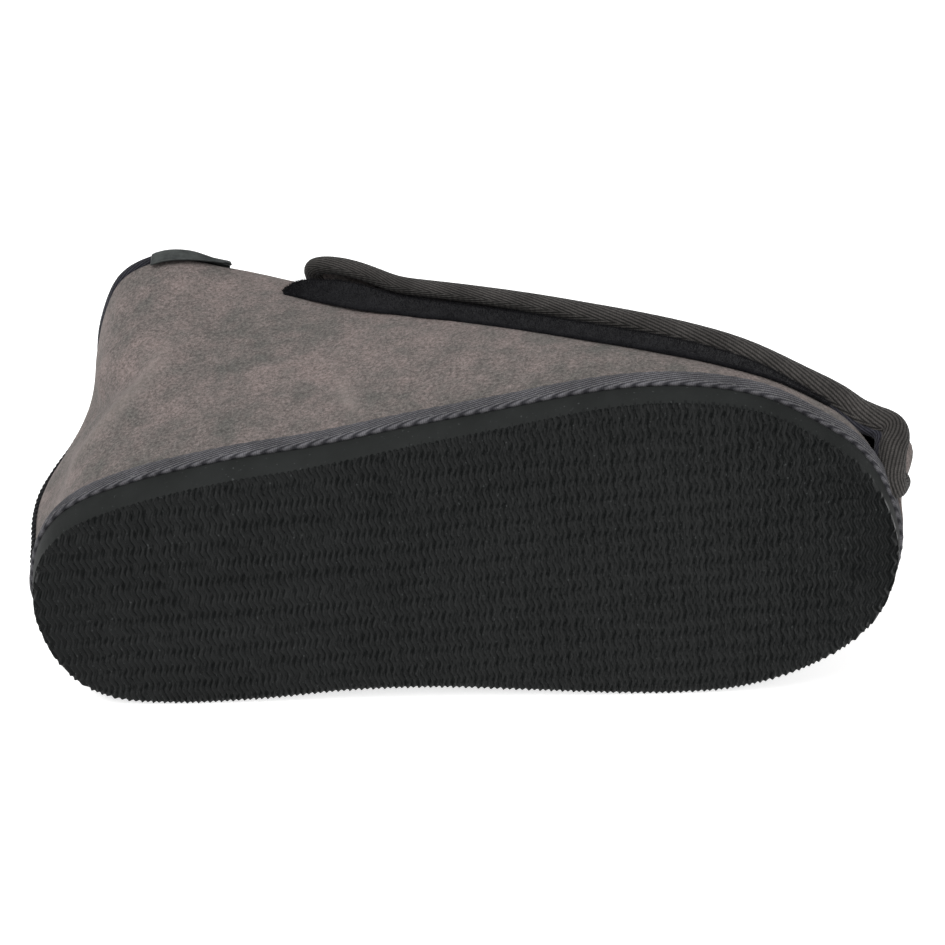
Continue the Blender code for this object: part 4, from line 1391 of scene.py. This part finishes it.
@dataclass
class Studio:
    """White floor, soft light and the photograph's camera."""

    eye: tuple[float, float, float] = (0.01943, -0.71617, 0.56080)
    aim: tuple[float, float, float] = (0.00364, 0.0, 0.04502)
    roll: float = math.radians(1.957)
    lens: float = 95.0
    sensor: float = 36.0
    floor_size: float = 6.0
    floor_glow: float = 0.62
    floor_white: float = 0.80
    world_strength: float = 0.48

    def build(self) -> None:
        """Set up camera, floor, world and lights."""
        self.build_camera()
        self.build_floor()
        self.build_lights()
        bpy.context.scene.view_settings.view_transform = "Standard"

    def build_camera(self) -> None:
        """Aim the camera, then roll it about its own axis."""
        ahead = (Vector(self.aim) - Vector(self.eye)).normalized()
        level = ahead.cross(Vector((0.0, 0.0, 1.0))).normalized()
        right = Matrix.Rotation(self.roll, 3, ahead) @ level
        turn = Matrix((right, right.cross(ahead), -ahead)).transposed().to_4x4()
        data = bpy.data.cameras.new("studio_camera")
        data.lens = self.lens
        data.sensor_width = self.sensor
        data.clip_start, data.clip_end = 0.01, 50.0
        camera = bpy.data.objects.new("studio_camera", data)
        camera.matrix_world = Matrix.Translation(self.eye) @ turn
        bpy.context.scene.collection.objects.link(camera)
        bpy.context.scene.camera = camera

    def build_floor(self) -> None:
        """Pale floor that glows a little, so that shadows stay faint."""
        mesh = bpy.data.meshes.new("floor")
        half = self.floor_size / 2
        corners = [(-half, -half, 0.0), (half, -half, 0.0), (half, half, 0.0), (-half, half, 0.0)]
        mesh.from_pydata(corners, [], [(0, 1, 2, 3)])
        floor = bpy.data.objects.new("floor", mesh)
        bpy.context.scene.collection.objects.link(floor)
        g = Graph("floor_white")
        white = (self.floor_white,) * 3 + (1.0,)
        g.set(Base_Color=white, Roughness=1.0, Specular_IOR_Level=0.0)
        g.set(Emission_Color=(1.0, 1.0, 1.0, 1.0), Emission_Strength=self.floor_glow)
        mesh.materials.append(g.material)

    def build_lights(self) -> None:
        """Even white world with two large soft lamps."""
        world = bpy.data.worlds.new("studio_world")
        world.use_nodes = True
        inputs = world.node_tree.nodes["Background"].inputs
        inputs["Strength"].default_value = self.world_strength
        inputs["Color"].default_value = (1.0, 1.0, 1.0, 1.0)
        bpy.context.scene.world = world
        for name, spot, size, power in (
            ("key", (-0.5, -0.3, 1.3), 1.1, 16.0),
            ("fill", (0.7, -1.2, 0.9), 1.0, 8.0),
        ):
            data = bpy.data.lights.new(name, "AREA")
            data.size = size
            data.energy = power
            lamp = bpy.data.objects.new(name, data)
            lamp.location = spot
            lamp.rotation_euler = (-Vector(spot)).to_track_quat("-Z", "Y").to_euler()
            bpy.context.scene.collection.objects.link(lamp)


def main() -> None:
    """Build the sub-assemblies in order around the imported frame."""
    logging.basicConfig(level=logging.INFO, format="%(name)s %(message)s")
    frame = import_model()
    form = SlipperForm()
    suede = Suede().make()
    lining = Plush("lining_plush", (0.030, 0.027, 0.025), (0.075, 0.068, 0.062)).make()
    pile = Plush("pile_black", (0.003, 0.003, 0.004), (0.014, 0.014, 0.016), sheen=0.04).make()
    felt = Plush("insole_felt", (0.060, 0.054, 0.050), (0.110, 0.100, 0.092), 0.6 * MM, 0.3 * MM).make()
    # Though both are one foam, the tread is given a darker colour than the band: partly painted shade of the
    # tread's grooves and of how light falls on it.
    tread = Foam("foam_tread", (0.0042, 0.0050, 0.0050), (0.0065, 0.0074, 0.0074), 0.42, 0.15).make()
    band = Foam("foam_band", (0.0110, 0.0122, 0.0118), (0.0170, 0.0186, 0.0182), 0.75, 0.12).make()
    warm_twill, cool_twill, dark_twill = (
        Twill(name, dark, light, pitch * MM, slant, band * MM).make()
        for name, dark, light, pitch, slant, band in (
            ("twill_flap", (0.019, 0.018, 0.017), (0.060, 0.056, 0.053), 1.0, 0.20, 10.05),
            ("twill_sole", (0.026, 0.026, 0.030), (0.100, 0.098, 0.106), 1.1, 0.22, 14.653),
            ("twill_collar", (0.012, 0.012, 0.016), (0.034, 0.034, 0.042), 0.9, 0.25, 7.2),
        )
    )
    thread = Plush("overlock_thread", (0.006, 0.006, 0.007), (0.024, 0.024, 0.026), 0.4 * MM, 0.1 * MM).make()
    pale_thread = Plush("pale_thread", (0.10, 0.10, 0.10), (0.20, 0.20, 0.20), 0.4 * MM, 0.1 * MM).make()
    FoamSole(form).build(tread, band)
    upper = SuedeUpper(form)
    upper.build(suede, lining)
    flap = ClosingFlap(form)
    flap.build_suede(suede)
    flap.build_tape(warm_twill, dark_twill)
    flap.build_strip(pile)
    sole_tape = SoleTape(form)
    sole_tape.build(cool_twill)
    sole_tape.build_stitches(pale_thread)
    collar = Collar(form, upper)
    collar.build_tape(dark_twill)
    collar.build_label(Leather().make())
    collar.build_seam(thread)
    insole = frame["nodes"]["insole"]
    insole.data.materials.clear()
    insole.data.materials.append(felt)
    Studio().build()


if __name__ == "__main__":
    main()
